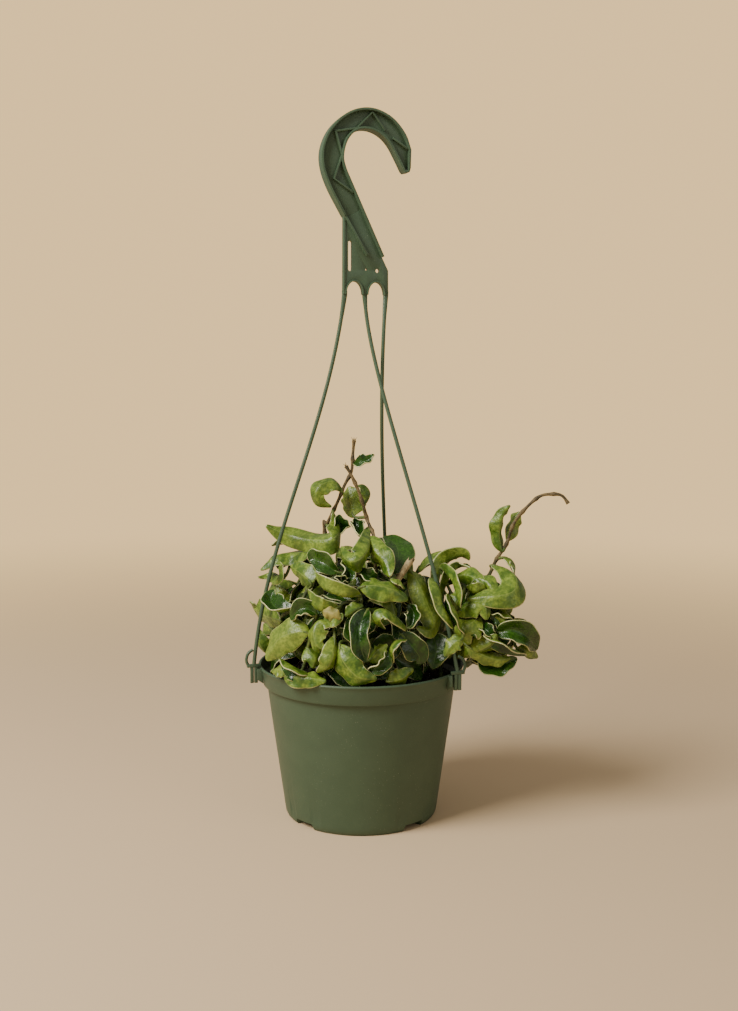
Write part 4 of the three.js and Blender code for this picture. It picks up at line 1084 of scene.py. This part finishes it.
print(len(FRONT_VINES), "vines in front with", front_leaves, "leaves")

# %% [markdown]
# ## Vines behind and inside
# The photograph doesn't show the back, so those leaves are drawn by a seeded rule:
# each tries a few places and keeps the first that is clear of every other leaf,
# stem and wire. The random source and the order of the draws are the packed
# part's own, so the leaves come out in the same places.

# %% Vines behind
BACK_VINES = {
    "vine_back": ((2, 46), [(4, 52, 138), (4, 46, 170), (0, 28, 198)], 7),
    "vine_back_left": ((-36, 36), [(-46, 40, 140), (-50, 34, 166), (-38, 22, 190)], 7),
    "vine_back_right": ((38, 34), [(46, 40, 138), (46, 32, 164), (34, 18, 186)], 7),
    "vine_side_left": ((-58, 14), [(-66, 16, 136), (-66, 10, 160)], 6),
    "vine_side_right": ((55, 20), [(76, 28, 134), (92, 26, 148), (104, 18, 158)], 6),
}
CORE = {
    "name": "vine_inner",
    "root": (-4, 22),
    "middle": np.array([-6.0, 6.0, 148.0]),
    "size": np.array([42.0, 36.0, 38.0]),
    "leaves": 28,
}
WORD = 0xFFFFFFFF


def make_draw(seed):
    """A small seeded source of even random numbers."""
    state = seed

    def draw(low, high):
        nonlocal state
        state = (state + 0x6D2B79F5) & WORD
        mixed = ((state ^ (state >> 15)) * (1 | state)) & WORD
        mixed = ((mixed + (mixed ^ (mixed >> 7)) * (61 | mixed)) & WORD) ^ mixed
        return low + (mixed ^ (mixed >> 14)) / 4294967296 * (high - low)

    return draw


print(len(BACK_VINES), "vines behind and", CORE["leaves"], "leaves inside")

# %% Geometry of stems
STEM_HEIGHTS = (80, 96, SOIL_EDGE + 5, SOIL_EDGE + 12)
STEM_STEP = 14


def unit(vector):
    return vector / np.linalg.norm(vector)


def turned(vector, axis, angle):
    """The vector turned about a unit axis by an angle in radians."""
    return (
        vector * math.cos(angle) + np.cross(axis, vector) * math.sin(angle)
        + axis * (axis @ vector) * (1 - math.cos(angle)))


def route_lengths(points):
    parts = np.linspace(0, 1, 201)
    samples = np.array([on_route(points, t) for t in parts])
    steps = np.linalg.norm(np.diff(samples, axis=0), axis=1)
    return parts, np.concatenate([[0], np.cumsum(steps)])


def spaced(points, count):
    parts, lengths = route_lengths(points)
    places = np.interp(np.linspace(0, lengths[-1], count + 1), lengths, parts)
    return np.array([on_route(points, t) for t in places])


def stem_points(root, rest):
    below = [np.array([root[0], root[1], z], float) for z in STEM_HEIGHTS]
    return below + [np.array(point, float) for point in rest]


def joint_count(stem):
    return int(route_lengths(stem)[1][-1] / STEM_STEP + 0.5)


def nearest_joint(stem, place):
    joints = spaced(stem, joint_count(stem))[:-1]
    return joints[np.argmin(np.linalg.norm(joints - place, axis=1))]


print("a joint every", STEM_STEP, "mm of stem")

# %% Blade surface
STALK_HALF_WIDTH = 1.5


def blade_shape(s):
    """Half the blade's width at a fraction of its length, as a share of its widest."""
    return max(math.sin(math.pi * s ** 0.8), 0) ** 0.75


def blade_surface(leaf, rows, columns):
    """The blade's middle surface: for each row its points, and their upward directions."""
    step = 0.01
    spine = leaf["spine"]
    spans = len(spine) - 1
    face = leaf["face"]
    width_full, fold = leaf["half_width"], math.radians(leaf["fold"])
    curl = math.radians(leaf["curl"]) / width_full
    result = []
    for s in rows:
        t = (1 + s * (spans - 1)) / spans
        here = on_route(spine, t)
        along = unit(on_route(spine, min(t + step, 1)) - on_route(spine, max(t - step, 0)))
        face = unit(face - along * (face @ along))
        up = turned(face, along, math.radians(leaf["twist"]) * (s - 0.5))
        side = np.cross(up, along)
        width = max(width_full * blade_shape(s), STALK_HALF_WIDTH if s < 0.5 else 0)
        row = []
        for v in columns:
            angle = fold + curl * abs(v) * width
            reach = (math.sin(angle) - math.sin(fold)) / curl
            rise = (math.cos(fold) - math.cos(angle)) / curl
            sign = (v > 0) - (v < 0)
            normal = up * math.cos(sign * angle) - side * math.sin(sign * angle)
            row.append((here + side * (sign * reach) + up * rise, normal))
        result.append(row)
    return result


def spread(leaf):
    """A few points all over the leaf, to keep others clear of it."""
    rows = blade_surface(leaf, (0.05, 0.2, 0.4, 0.6, 0.8, 0.97), (-1, -0.5, 0, 0.5, 1))
    return np.array([point for row in rows for point, _ in row])


widest = max(range(101), key=lambda i: blade_shape(i / 100))
print("a blade is widest at", widest, "% of its length")


# %% Leaves given from the camera
def seen(spot, mound):
    """The point that looks to be at x and z, a given way out of the mound."""
    middle, size = mound
    x, z, out = spot
    ray = np.array([x, 0, z]) - EYE
    start = (EYE - middle) / size
    step = ray / size
    a, b = step @ step, start @ step
    missed = b * b - a * (start @ start - 1)
    t = (-b - math.sqrt(max(missed, 0))) / a
    return EYE + ray * (t - out / np.linalg.norm(ray))


def seen_leaf(mound, stem, leaf, twist=0):
    half_width, turn, fold, curl, *spots = leaf
    spine = [seen(spot, mound) for spot in spots]
    along = unit(spine[1] - spine[0])
    viewer = EYE - spine[0]
    face = turned(unit(viewer - along * (viewer @ along)), along, math.radians(turn))
    spine.insert(0, nearest_joint(stem, spine[0]))
    return {"spine": spine, "face": face, "half_width": half_width,
            "fold": fold, "curl": curl, "twist": twist}


def front_vine(name, mound, root, stem_spots, leaves):
    stem = stem_points(root, [seen(spot, mound) for spot in stem_spots])
    return {"name": name, "stem": stem,
            "leaves": [seen_leaf(mound, stem, leaf) for leaf in leaves]}


vines = [front_vine(name, *vine) for name, vine in FRONT_VINES.items()]
print(len(vines), "vines placed in front")

# %% One drawn leaf
LEAF_TURNS = (-35, 35)
LEAF_LENGTHS = (30, 42)
LEAF_BENDS = (25, 65)
HALF_WIDTHS = (9, 12.5)
FOLDS = (15, 35)
CURLS = (35, 65)
TWISTS = (-30, 30)
STALK_LENGTH = 4
UPPER_SHARE = 0.65


def drawn_leaf(root, outward, along, turn, draw):
    """One leaf that grows outward from its root, arches over and curls."""
    outward = unit(outward - along * (outward @ along))
    heading = turned(outward, along, math.radians(turn + draw(*LEAF_TURNS)))
    heading = unit(heading + outward * 0.5 + along * draw(0, 0.6))
    bend_way = np.array([draw(-0.5, 0.5), draw(-0.5, 0.5), draw(-1, 0.3)])
    bend_way = unit(bend_way - heading * (bend_way @ heading))
    length = draw(*LEAF_LENGTHS)
    bend = math.radians(draw(*LEAF_BENDS))
    spine = [root, root + heading * STALK_LENGTH]
    for part in range(3):
        way = heading * math.cos(part * bend) + bend_way * math.sin(part * bend)
        spine.append(spine[-1] + way * (length / 3))
    face = bend_way * (1 if draw(0, 1) < UPPER_SHARE else -1)
    return {"spine": spine, "face": face, "half_width": draw(*HALF_WIDTHS),
            "fold": draw(*FOLDS), "curl": draw(*CURLS), "twist": draw(*TWISTS)}


print("a drawn leaf is", LEAF_LENGTHS, "mm long")

# %% Clear places
LEAF_TRIES = 20
MOUND_REACH = 86
MOUTH_RADIUS = 70.8 - 3
LEAF_CLEARANCE = 3.4
WIRE_CLEARANCE = 5
SIDE_START = SIDE_MOUND[0][0] - SIDE_MOUND[1][0]


def is_clear(points, taken, wires):
    radius = np.hypot(points[:, 0], points[:, 1])
    lowest = np.where(radius < MOUTH_RADIUS, SOIL_EDGE + 5, POT_TOP + 4)
    inside = (radius < MOUND_REACH) | (points[:, 0] > SIDE_START)
    if not np.all((points[:, 2] > lowest) & inside):
        return False
    for others, clearance in ((wires, WIRE_CLEARANCE), (taken, LEAF_CLEARANCE)):
        apart = np.linalg.norm(points[:, None, :] - others[None, :, :], axis=2)
        if apart.min() <= clearance:
            return False
    return True


def drawn_leaves(count, draw_leaf, taken, wires):
    leaves = []
    for i in range(count):
        for _ in range(LEAF_TRIES):
            leaf = draw_leaf(i)
            points = spread(leaf)
            if is_clear(points, np.concatenate(taken), wires):
                leaves.append(leaf)
                taken.append(points)
                break
    return leaves


print("leaves keep", LEAF_CLEARANCE, "mm apart and", WIRE_CLEARANCE, "mm from the wires")

# %% Drawn vines
GOLDEN_TURN = 137.5
LEAF_SIDES = (-75, 75, 0)


def back_vine(name, stem, count, draw, taken, wires):
    def draw_leaf(i):
        t = 0.55 + (0.43 * i) / (count - 1)
        root = nearest_joint(stem, on_route(stem, t))
        along = unit(on_route(stem, min(t + 0.02, 1)) - on_route(stem, t - 0.02))
        outward = np.array([root[0], root[1], 0.4 * (root[2] - 130)])
        return drawn_leaf(root, outward, along, LEAF_SIDES[i % 3], draw)

    return {"name": name, "stem": stem, "leaves": drawn_leaves(count, draw_leaf, taken, wires)}


def inner_vine(draw, taken, wires):
    """The inner leaves are spread over the core by equal turns, from its top down."""
    def draw_leaf(i):
        height = 0.95 - (1.25 * i) / (CORE["leaves"] - 1)
        angle = math.radians(i * GOLDEN_TURN + draw(-15, 15))
        level = math.sqrt(1 - height * height)
        normal = np.array([math.cos(angle) * level, math.sin(angle) * level, height])
        root = normal * 0.92 * CORE["size"] + CORE["middle"]
        along = np.array([draw(-1, 1), draw(-1, 1), draw(0, 1)])
        along = unit(np.cross(along, normal))
        return drawn_leaf(root, normal, along, draw(-60, 60), draw)

    return {"name": CORE["name"], "stem": stem_points(CORE["root"], [CORE["middle"]]),
            "leaves": drawn_leaves(CORE["leaves"], draw_leaf, taken, wires)}


def along_stem(stem):
    return spaced(stem, 30)


def drawn_vines():
    draw = make_draw(7)
    taken = []
    for vine in vines:
        taken += [spread(leaf) for leaf in vine["leaves"]] + [along_stem(vine["stem"])]
    wires = np.array([tuple(point) for name in LUG_ANGLES for point in wire_points(name, 60)])
    stems = {name: stem_points(root, route) for name, (root, route, _) in BACK_VINES.items()}
    back = []
    for name, (_, _, count) in BACK_VINES.items():
        others = [along_stem(stems[other]) for other in stems if other != name]
        barred = np.concatenate([wires, *others])
        back.append(back_vine(name, stems[name], count, draw, taken, barred))
    return [*back, inner_vine(draw, taken, wires)]


vines += drawn_vines()
for vine in vines:
    print(vine["name"], len(vine["leaves"]), "leaves")

# %% [markdown]
# ## Leaf finishes
# A rope hoya's leaf is thick and waxy. Its underside, which the curl turns
# outwards, is a mottled yellow green, the inside of the curl is a dark glossy green,
# and its edge is a thin cream line. So a leaf carries three materials: upper face,
# underside and rim. Each leaf also has a tone of its own, kept as an attribute.

# %% Leaf faces
TONE_SHARE = 0.5
STREAK_FADE = 0.45
RIB_HALF = 0.022


def edge_mask(tree, low, high):
    """A mask that rises towards the leaf's long edges, from its own UV map."""
    layout = add_node(tree, "ShaderNodeUVMap", uv_map="leaf")
    parts = add_node(tree, "ShaderNodeSeparateXYZ")
    tree.links.new(layout.outputs["UV"], parts.inputs[0])
    off = calculate(tree, "SUBTRACT", parts.outputs["X"], 0.5)
    return band(tree, calculate(tree, "ABSOLUTE", off), low, high)


def make_leaf_face(name, roughness, edge_band, dark, light, young, rib, edge):
    material, tree, shader = start_material(
        name, Roughness=roughness, Specular_IOR_Level=0.5)
    wide = place_group(tree, blotches, Scale=150.0, Detail=6.0)
    mottled = mix_colours(tree, wide, dark, light)
    own_tone = add_node(tree, "ShaderNodeAttribute", attribute_name="tone").outputs["Fac"]
    toned = mix_colours(
        tree, calculate(tree, "MULTIPLY", own_tone, TONE_SHARE), mottled, young)
    fine = place_group(tree, blotches, Scale=520.0, Detail=6.0)
    streaked = mix_colours(tree, fine, dark, toned)
    softened = mix_colours(tree, STREAK_FADE, streaked, toned)
    ribbed = mix_colours(tree, edge_mask(tree, RIB_HALF, 0.0), softened, rib)
    edged = mix_colours(tree, edge_mask(tree, *edge_band), ribbed, edge)
    tree.links.new(edged, shader.inputs["Base Color"])
    add_relief(tree, shader, 420.0, 3.0, 0.00025, 0.5)
    return material


leaf_upper = make_leaf_face(
    "leaf_upper", 0.22, (0.45, 0.50),
    dark=(0.005, 0.026, 0.002, 1), light=(0.023, 0.084, 0.006, 1),
    young=(0.055, 0.135, 0.013, 1), rib=(0.050, 0.115, 0.016, 1), edge=(0.16, 0.23, 0.05, 1))
leaf_under = make_leaf_face(
    "leaf_under", 0.36, (0.455, 0.50),
    dark=(0.040, 0.100, 0.008, 1), light=(0.225, 0.325, 0.038, 1),
    young=(0.290, 0.365, 0.052, 1), rib=(0.210, 0.275, 0.060, 1), edge=(0.34, 0.39, 0.12, 1))
print("leaf faces", leaf_upper.name, leaf_under.name)


# %% Rims, stalks and dry leaves
def make_plain_leaf(name, dark, light, roughness):
    relief = (500.0, 4.0, 0.0003, 0.6)
    return make_mottled(name, dark, light, roughness, (160.0, 4.0), relief)


leaf_rim = make_plain_leaf("leaf_rim", (0.42, 0.44, 0.18, 1), (0.62, 0.61, 0.34, 1), 0.42)
stalk_skin = make_plain_leaf(
    "stalk_skin", (0.055, 0.100, 0.014, 1), (0.130, 0.170, 0.034, 1), 0.5)
cut_end = make_plain_leaf("cut_end", (0.12, 0.085, 0.035, 1), (0.40, 0.31, 0.16, 1), 0.85)
# This near-black green is painted shade, for the body inside the mound where the leaves lie in
# shade.
painted_shade_leaf = make_plain_leaf("painted_shade_leaf", (0.012, 0.024, 0.006, 1), (0.040, 0.070, 0.014, 1), 0.5)
dry_leaf = make_plain_leaf("dry_leaf", (0.15, 0.15, 0.022, 1), (0.31, 0.275, 0.060, 1), 0.55)
print("plain finishes", *(m.name for m in (leaf_rim, stalk_skin, cut_end, painted_shade_leaf, dry_leaf)))

# %% Stem skin
DRYING_START = 0.165
DRYING_END = 0.205


def make_stem_skin():
    """Green low down among the leaves, and dry and brown towards the bare tops."""
    material, tree, shader = start_material("stem_skin", Roughness=0.6)
    patches = place_group(tree, blotches, Scale=160.0, Detail=4.0)
    brown = mix_colours(tree, patches, (0.050, 0.038, 0.015, 1), (0.165, 0.115, 0.045, 1))
    green = mix_colours(tree, patches, (0.030, 0.055, 0.008, 1), (0.075, 0.105, 0.020, 1))
    parts = add_node(tree, "ShaderNodeSeparateXYZ")
    tree.links.new(object_place(tree), parts.inputs[0])
    dried = band(tree, parts.outputs["Z"], DRYING_START, DRYING_END)
    tree.links.new(mix_colours(tree, dried, green, brown), shader.inputs["Base Color"])
    add_relief(tree, shader, 500.0, 4.0, 0.0003, 0.8)
    return material


stem_skin = make_stem_skin()
print("stems dry out above", DRYING_START, "m")

# %% [markdown]
# ## Leaves and stems
# Each blade starts as a flat grid, and every point of it is moved on to the folded
# and curled surface worked out above, with small waves towards its edges as on the
# real crimped leaf. A Solidify modifier gives it its thickness and puts the other
# two materials on the underside and the rim, and a Subdivision modifier rounds it.
# Stems and stalks are swept tubes, with a slight swelling at each joint.

# %% Blade mesh
BLADE_END = 0.985
OPENING = (0.5, 0.8)
WAVES = (2.2, 3.6)
WAVE_HEIGHT = 1.3
LIP = 1.0
CRUMPLE = 1.6
CRUMPLE_SCALE = 0.085


def start_leaves():
    shape = bmesh.new()
    shape.verts.layers.float.new("tone")
    shape.loops.layers.uv.new("leaf")
    return shape


def add_blade(shape, leaf, draw, columns=8, rows=14):
    """Bends one flat grid into a leaf. Its upper face looks up along the leaf's face."""
    tone = shape.verts.layers.float["tone"]
    shade = draw.uniform(0, 1) ** 1.5
    phase = [draw.uniform(0, math.tau) for _ in range(2)]
    waves = draw.uniform(*WAVES)
    lengths = [BLADE_END * (1 - (1 - i / rows) ** 1.25) for i in range(rows + 1)]
    widths = [1 - 2 * i / columns for i in range(columns + 1)]
    curl = leaf["curl"] * draw.uniform(*OPENING)
    surface = blade_surface({**leaf, "curl": curl}, lengths, widths)
    grid = bmesh.ops.create_grid(
        shape, x_segments=columns, y_segments=rows, size=1.0, calc_uvs=True)["verts"]
    for vert in grid:
        column = round((vert.co.x + 1) / 2 * columns)
        row = round((vert.co.y + 1) / 2 * rows)
        point, normal = surface[row][column]
        v, s = widths[column], lengths[row]
        bulge = math.sin(math.pi * s)
        wave = math.sin(waves * math.tau * s + phase[int(v > 0)])
        height = WAVE_HEIGHT * abs(v) ** 2.5 * wave * bulge ** 0.5
        height -= LIP * max(0.0, abs(v) - 0.5) ** 2 * 4 * bulge
        crease = noise.noise(Vector(point) * CRUMPLE_SCALE)
        height += CRUMPLE * crease * math.sin(math.pi * min(s + 0.05, 1))
        vert.co = point + normal * height
        vert[tone] = shade


print("a blade's edge waves by", WAVE_HEIGHT, "mm")

# %% Thick leaves
LEAF_THICK = 1.15


def finish_leaves(name, shape, nodes):
    materials = [leaf_upper, leaf_under, leaf_rim]
    piece = keep_piece(name, to_metres(shape), materials, nodes, 180)
    thick = piece.modifiers.new("thickness", "SOLIDIFY")
    thick.thickness = LEAF_THICK * MM
    thick.offset = 0.0
    thick.material_offset = 1
    thick.material_offset_rim = 2
    rounded = piece.modifiers.new("rounding", "SUBSURF")
    rounded.levels = rounded.render_levels = 1
    return piece


print("leaves are", LEAF_THICK, "mm thick")

# %% Stems and stalks
STEM_RADIUS = 1.65
STEM_TAPER = 0.6
RINGS_PER_JOINT = 6
SWELLING = (0.6, 0.2, 0.0, 0.0, 0.0, 0.2)
STALK_RADII = [1.45, 1.3, 1.2, 1.15, 1.15, 1.15, 1.1, 0.95, 0.6]


def add_stem(shape, stem):
    points = [Vector(point) for point in spaced(stem, RINGS_PER_JOINT * joint_count(stem))]
    sweep(shape, points, [
        STEM_RADIUS - STEM_TAPER * i / len(points) + SWELLING[i % RINGS_PER_JOINT]
        for i in range(len(points))])


def add_stalk(shape, leaf):
    spans = len(leaf["spine"]) - 1
    points = [Vector(on_route(leaf["spine"], t * 1.5 / spans / 8)) for t in range(9)]
    sweep(shape, points, STALK_RADII, sides=8)


def make_vine(vine, number):
    draw = random.Random(100 + number)
    leaves, wood = start_leaves(), bmesh.new()
    add_stem(wood, vine["stem"])
    stem_faces = len(wood.faces)
    for leaf in vine["leaves"]:
        add_blade(leaves, leaf, draw)
        add_stalk(wood, leaf)
    wood.faces.ensure_lookup_table()
    for face in wood.faces[stem_faces:]:
        face.material_index = 1
    name = vine["name"].replace("vine_", "")
    finish_leaves(f"leaves_{name}", leaves, [vine["name"]])
    finish_piece(f"stem_{name}", to_metres(wood), [stem_skin, stalk_skin],
                 [vine["name"]], 60)


for number, vine in enumerate(vines):
    make_vine(vine, number)

# %% [markdown]
# ## Inside the mound
# Between the outer leaves the real plant is a tangle of older leaves in deep shade.
# A lumpy body painted near-black green, as painted shade, fills its middle. Leaves
# lie over it like shingles, and two more layers of them lie under the outer leaves,
# so every gap between those shows more leaf.

# %% Core
CORE_SHRINK = 0.90


def make_core():
    shape = bmesh.new()
    bmesh.ops.create_icosphere(shape, subdivisions=4, radius=1.0)
    for vert in shape.verts:
        lump = noise.noise(vert.co * 3.5) * 0.10 + noise.noise(vert.co * 9) * 0.05
        vert.co *= CORE_SHRINK * (1 + lump)
    bmesh.ops.scale(shape, verts=shape.verts, vec=CORE["size"])
    bmesh.ops.translate(shape, verts=shape.verts, vec=CORE["middle"])
    return to_metres(shape)


# The core is painted near-black as painted shade deep inside the mound.
finish_piece("core", make_core(), [painted_shade_leaf], ["vine_inner"], 180)

# %% Shingle leaves
MOUND_MIDDLE, MOUND_SIZE = MAIN_MOUND
SIDE_MIDDLE, SIDE_SIZE = SIDE_MOUND
SHINGLE_LAYERS = {
    "inner_shingles": (50, 61, CORE["middle"], CORE["size"], -0.5, "vine_inner"),
    "mound_shingles": (96, 62, MOUND_MIDDLE, MOUND_SIZE * 0.76, 0.14, "vine_inner"),
    "side_shingles": (
        30, 63, SIDE_MIDDLE - (4, 0, 4), SIDE_SIZE * 0.66, -0.85, "vine_side_right"),
}


def shingle(i, count, draw, middle, size, lowest):
    """A leaf that lies on an ellipsoid and follows its curve, number i from the top down."""
    height = 0.97 - (0.97 - lowest) * i / (count - 1)
    angle = math.radians(i * GOLDEN_TURN)
    level = math.sqrt(1 - height * height)
    normal = np.array([math.cos(angle) * level, math.sin(angle) * level, height])
    heading = np.cross(np.array([draw.uniform(-1, 1) for _ in range(3)]), normal)
    heading = unit(heading - normal * (heading @ normal))
    reach = draw.uniform(26, 36) / size.mean()
    spine = []
    for part in range(-1, 4):
        way = turned(normal, np.cross(normal, heading), part * reach / 3)
        lift = 0.95 + 0.04 * max(part, 0)
        spine.append(unit(way) * lift * size + middle)
    face = normal * (1 if draw.random() < UPPER_SHARE else -1)
    return {"spine": spine, "face": face, "half_width": draw.uniform(8, 11),
            "fold": draw.uniform(10, 30), "curl": draw.uniform(25, 60),
            "twist": draw.uniform(-40, 40)}


def make_shingles(count, seed, middle, size, lowest):
    draw = random.Random(seed)
    shape = start_leaves()
    for i in range(count):
        add_blade(shape, shingle(i, count, draw, middle, size, lowest), draw, 6, 10)
    return shape


for name, (*layer, node) in SHINGLE_LAYERS.items():
    finish_leaves(name, make_shingles(*layer), [node])

# %% [markdown]
# ## Draped leaves
# Eight more leaves hang loosely at the front of the right bunch, and two of them
# cross in front of the right wire. They have no solid of their own, so they are
# given here, in the same way as the leaves in front, and each has a stalk to the
# nearest joint.

# %% Draped leaves
DRAPE_MOUND = (np.array([66.0, -30.0, 142.0]), np.array([30.0, 24.0, 44.0]))
DRAPE_TWIST = 12
DRAPED_LEAVES = [
    (DRAPE_MOUND, (9, 150, 22, 55, (56, 178, -2), (60, 168, 3), (64, 155, 4), (70, 140, 1))),
    (DRAPE_MOUND, (7.5, 20, 25, 60, (66, 166, -3), (70, 157, 1), (74, 147, 1), (78, 136, -3))),
    (DRAPE_MOUND, (6.5, 175, 22, 45, (77, 134, -1), (72, 131, 3), (67, 126, 4), (63, 119, 2))),
    (SIDE_MOUND, (7, 160, 25, 60, (100, 152, -2), (110, 146, 3), (120, 138, 4), (129, 129, 1))),
    (SIDE_MOUND, (7, 60, 28, 70, (92, 136, 2), (103, 131, 7), (115, 125, 7), (126, 120, 3))),
    (SIDE_MOUND, (7, 165, 25, 55, (80, 128, 2), (91, 121, 6), (103, 117, 6), (114, 118, 3))),
    (DRAPE_MOUND, (8, 155, 25, 55, (60, 186, -12), (67, 179, -3), (72, 168, -2), (75, 156, -5))),
    (SIDE_MOUND, (7.5, 150, 25, 55, (84, 176, 0), (92, 178, 3), (98, 172, 4), (101, 163, 2))),
]


def make_draped():
    shape, stalks = start_leaves(), bmesh.new()
    stem = next(vine["stem"] for vine in vines if vine["name"] == "vine_right_lower")
    draw = random.Random(12)
    for mound, numbers in DRAPED_LEAVES:
        leaf = seen_leaf(mound, stem, numbers, DRAPE_TWIST)
        add_blade(shape, leaf, draw)
        add_stalk(stalks, leaf)
    finish_leaves("draped_leaves", shape, [])
    finish_piece("draped_stalks", to_metres(stalks), [stalk_skin], (), 60)


make_draped()

# %% [markdown]
# ## Small marks of age
# Near the top a stem was cut long ago and has dried to a pale stub, two bare stems
# end in torn fibres, and one small leaf has yellowed. They are what makes this
# plant look used, so each gets its own shape: a swept stub with a ragged end, a few
# thin fibres at each torn tip and one more blade in a dry colour.

# %% Cut stub
STUB_START = (20, 166, -4)
STUB_END = (38.0, 194, 24)
STUB_RADII = [2.3, 2.3, 2.2, 2.3, 2.2, 2.3, 2.4, 2.6, 2.5]


def make_stub():
    shape = bmesh.new()
    start, end = (Vector(seen(spot, MAIN_MOUND)) for spot in (STUB_START, STUB_END))
    ragged = sweep(shape, [start.lerp(end, i / 8) for i in range(9)], STUB_RADII, sides=14)
    draw = random.Random(8)
    for vert in ragged:
        vert.co += (end - start).normalized() * draw.uniform(-3.2, 1.4)
    return to_metres(shape)


finish_piece("cut_stub", make_stub(), [cut_end], (), 50)

# %% Torn fibres
TORN_VINES = [vine for vine in vines if "top" in vine["name"]]
FIBRES_PER_TIP = 7
FIBRE_RADII = [0.42, 0.34, 0.22, 0.08]


def make_fibres():
    shape = bmesh.new()
    draw = random.Random(9)
    for vine in TORN_VINES:
        tip = Vector(vine["stem"][-1])
        way = (tip - Vector(vine["stem"][-2])).normalized()
        for _ in range(FIBRES_PER_TIP):
            lean = Vector([draw.uniform(-0.5, 0.5) for _ in range(3)])
            side = Vector([draw.uniform(-0.7, 0.7) for _ in range(3)])
            root = tip - way * 1.5 + side * 0.6
            reach = draw.uniform(2.0, 4.2)
            points = [root + (way + lean * t) * (reach * t) for t in (0, 0.4, 0.75, 1)]
            sweep(shape, points, FIBRE_RADII, sides=5)
    return to_metres(shape)


finish_piece("torn_fibres", make_fibres(), [cut_end], (), 50)

# %% Yellow leaf
YELLOW_SPOTS = [(-34, 154, 2), (-29, 154, 8), (-22, 152, 9), (-15, 148, 7)]


def make_yellow_leaf():
    shape = start_leaves()
    spine = [seen(spot, MAIN_MOUND) for spot in YELLOW_SPOTS]
    leaf = {"spine": spine, "face": -unit(EYE - spine[0]), "half_width": 5.5,
            "fold": 20, "curl": 50, "twist": 10}
    add_blade(shape, leaf, random.Random(4))
    return shape


yellow = finish_leaves("yellow_leaf", make_yellow_leaf(), [])
for slot_index in range(3):
    yellow.data.materials[slot_index] = dry_leaf
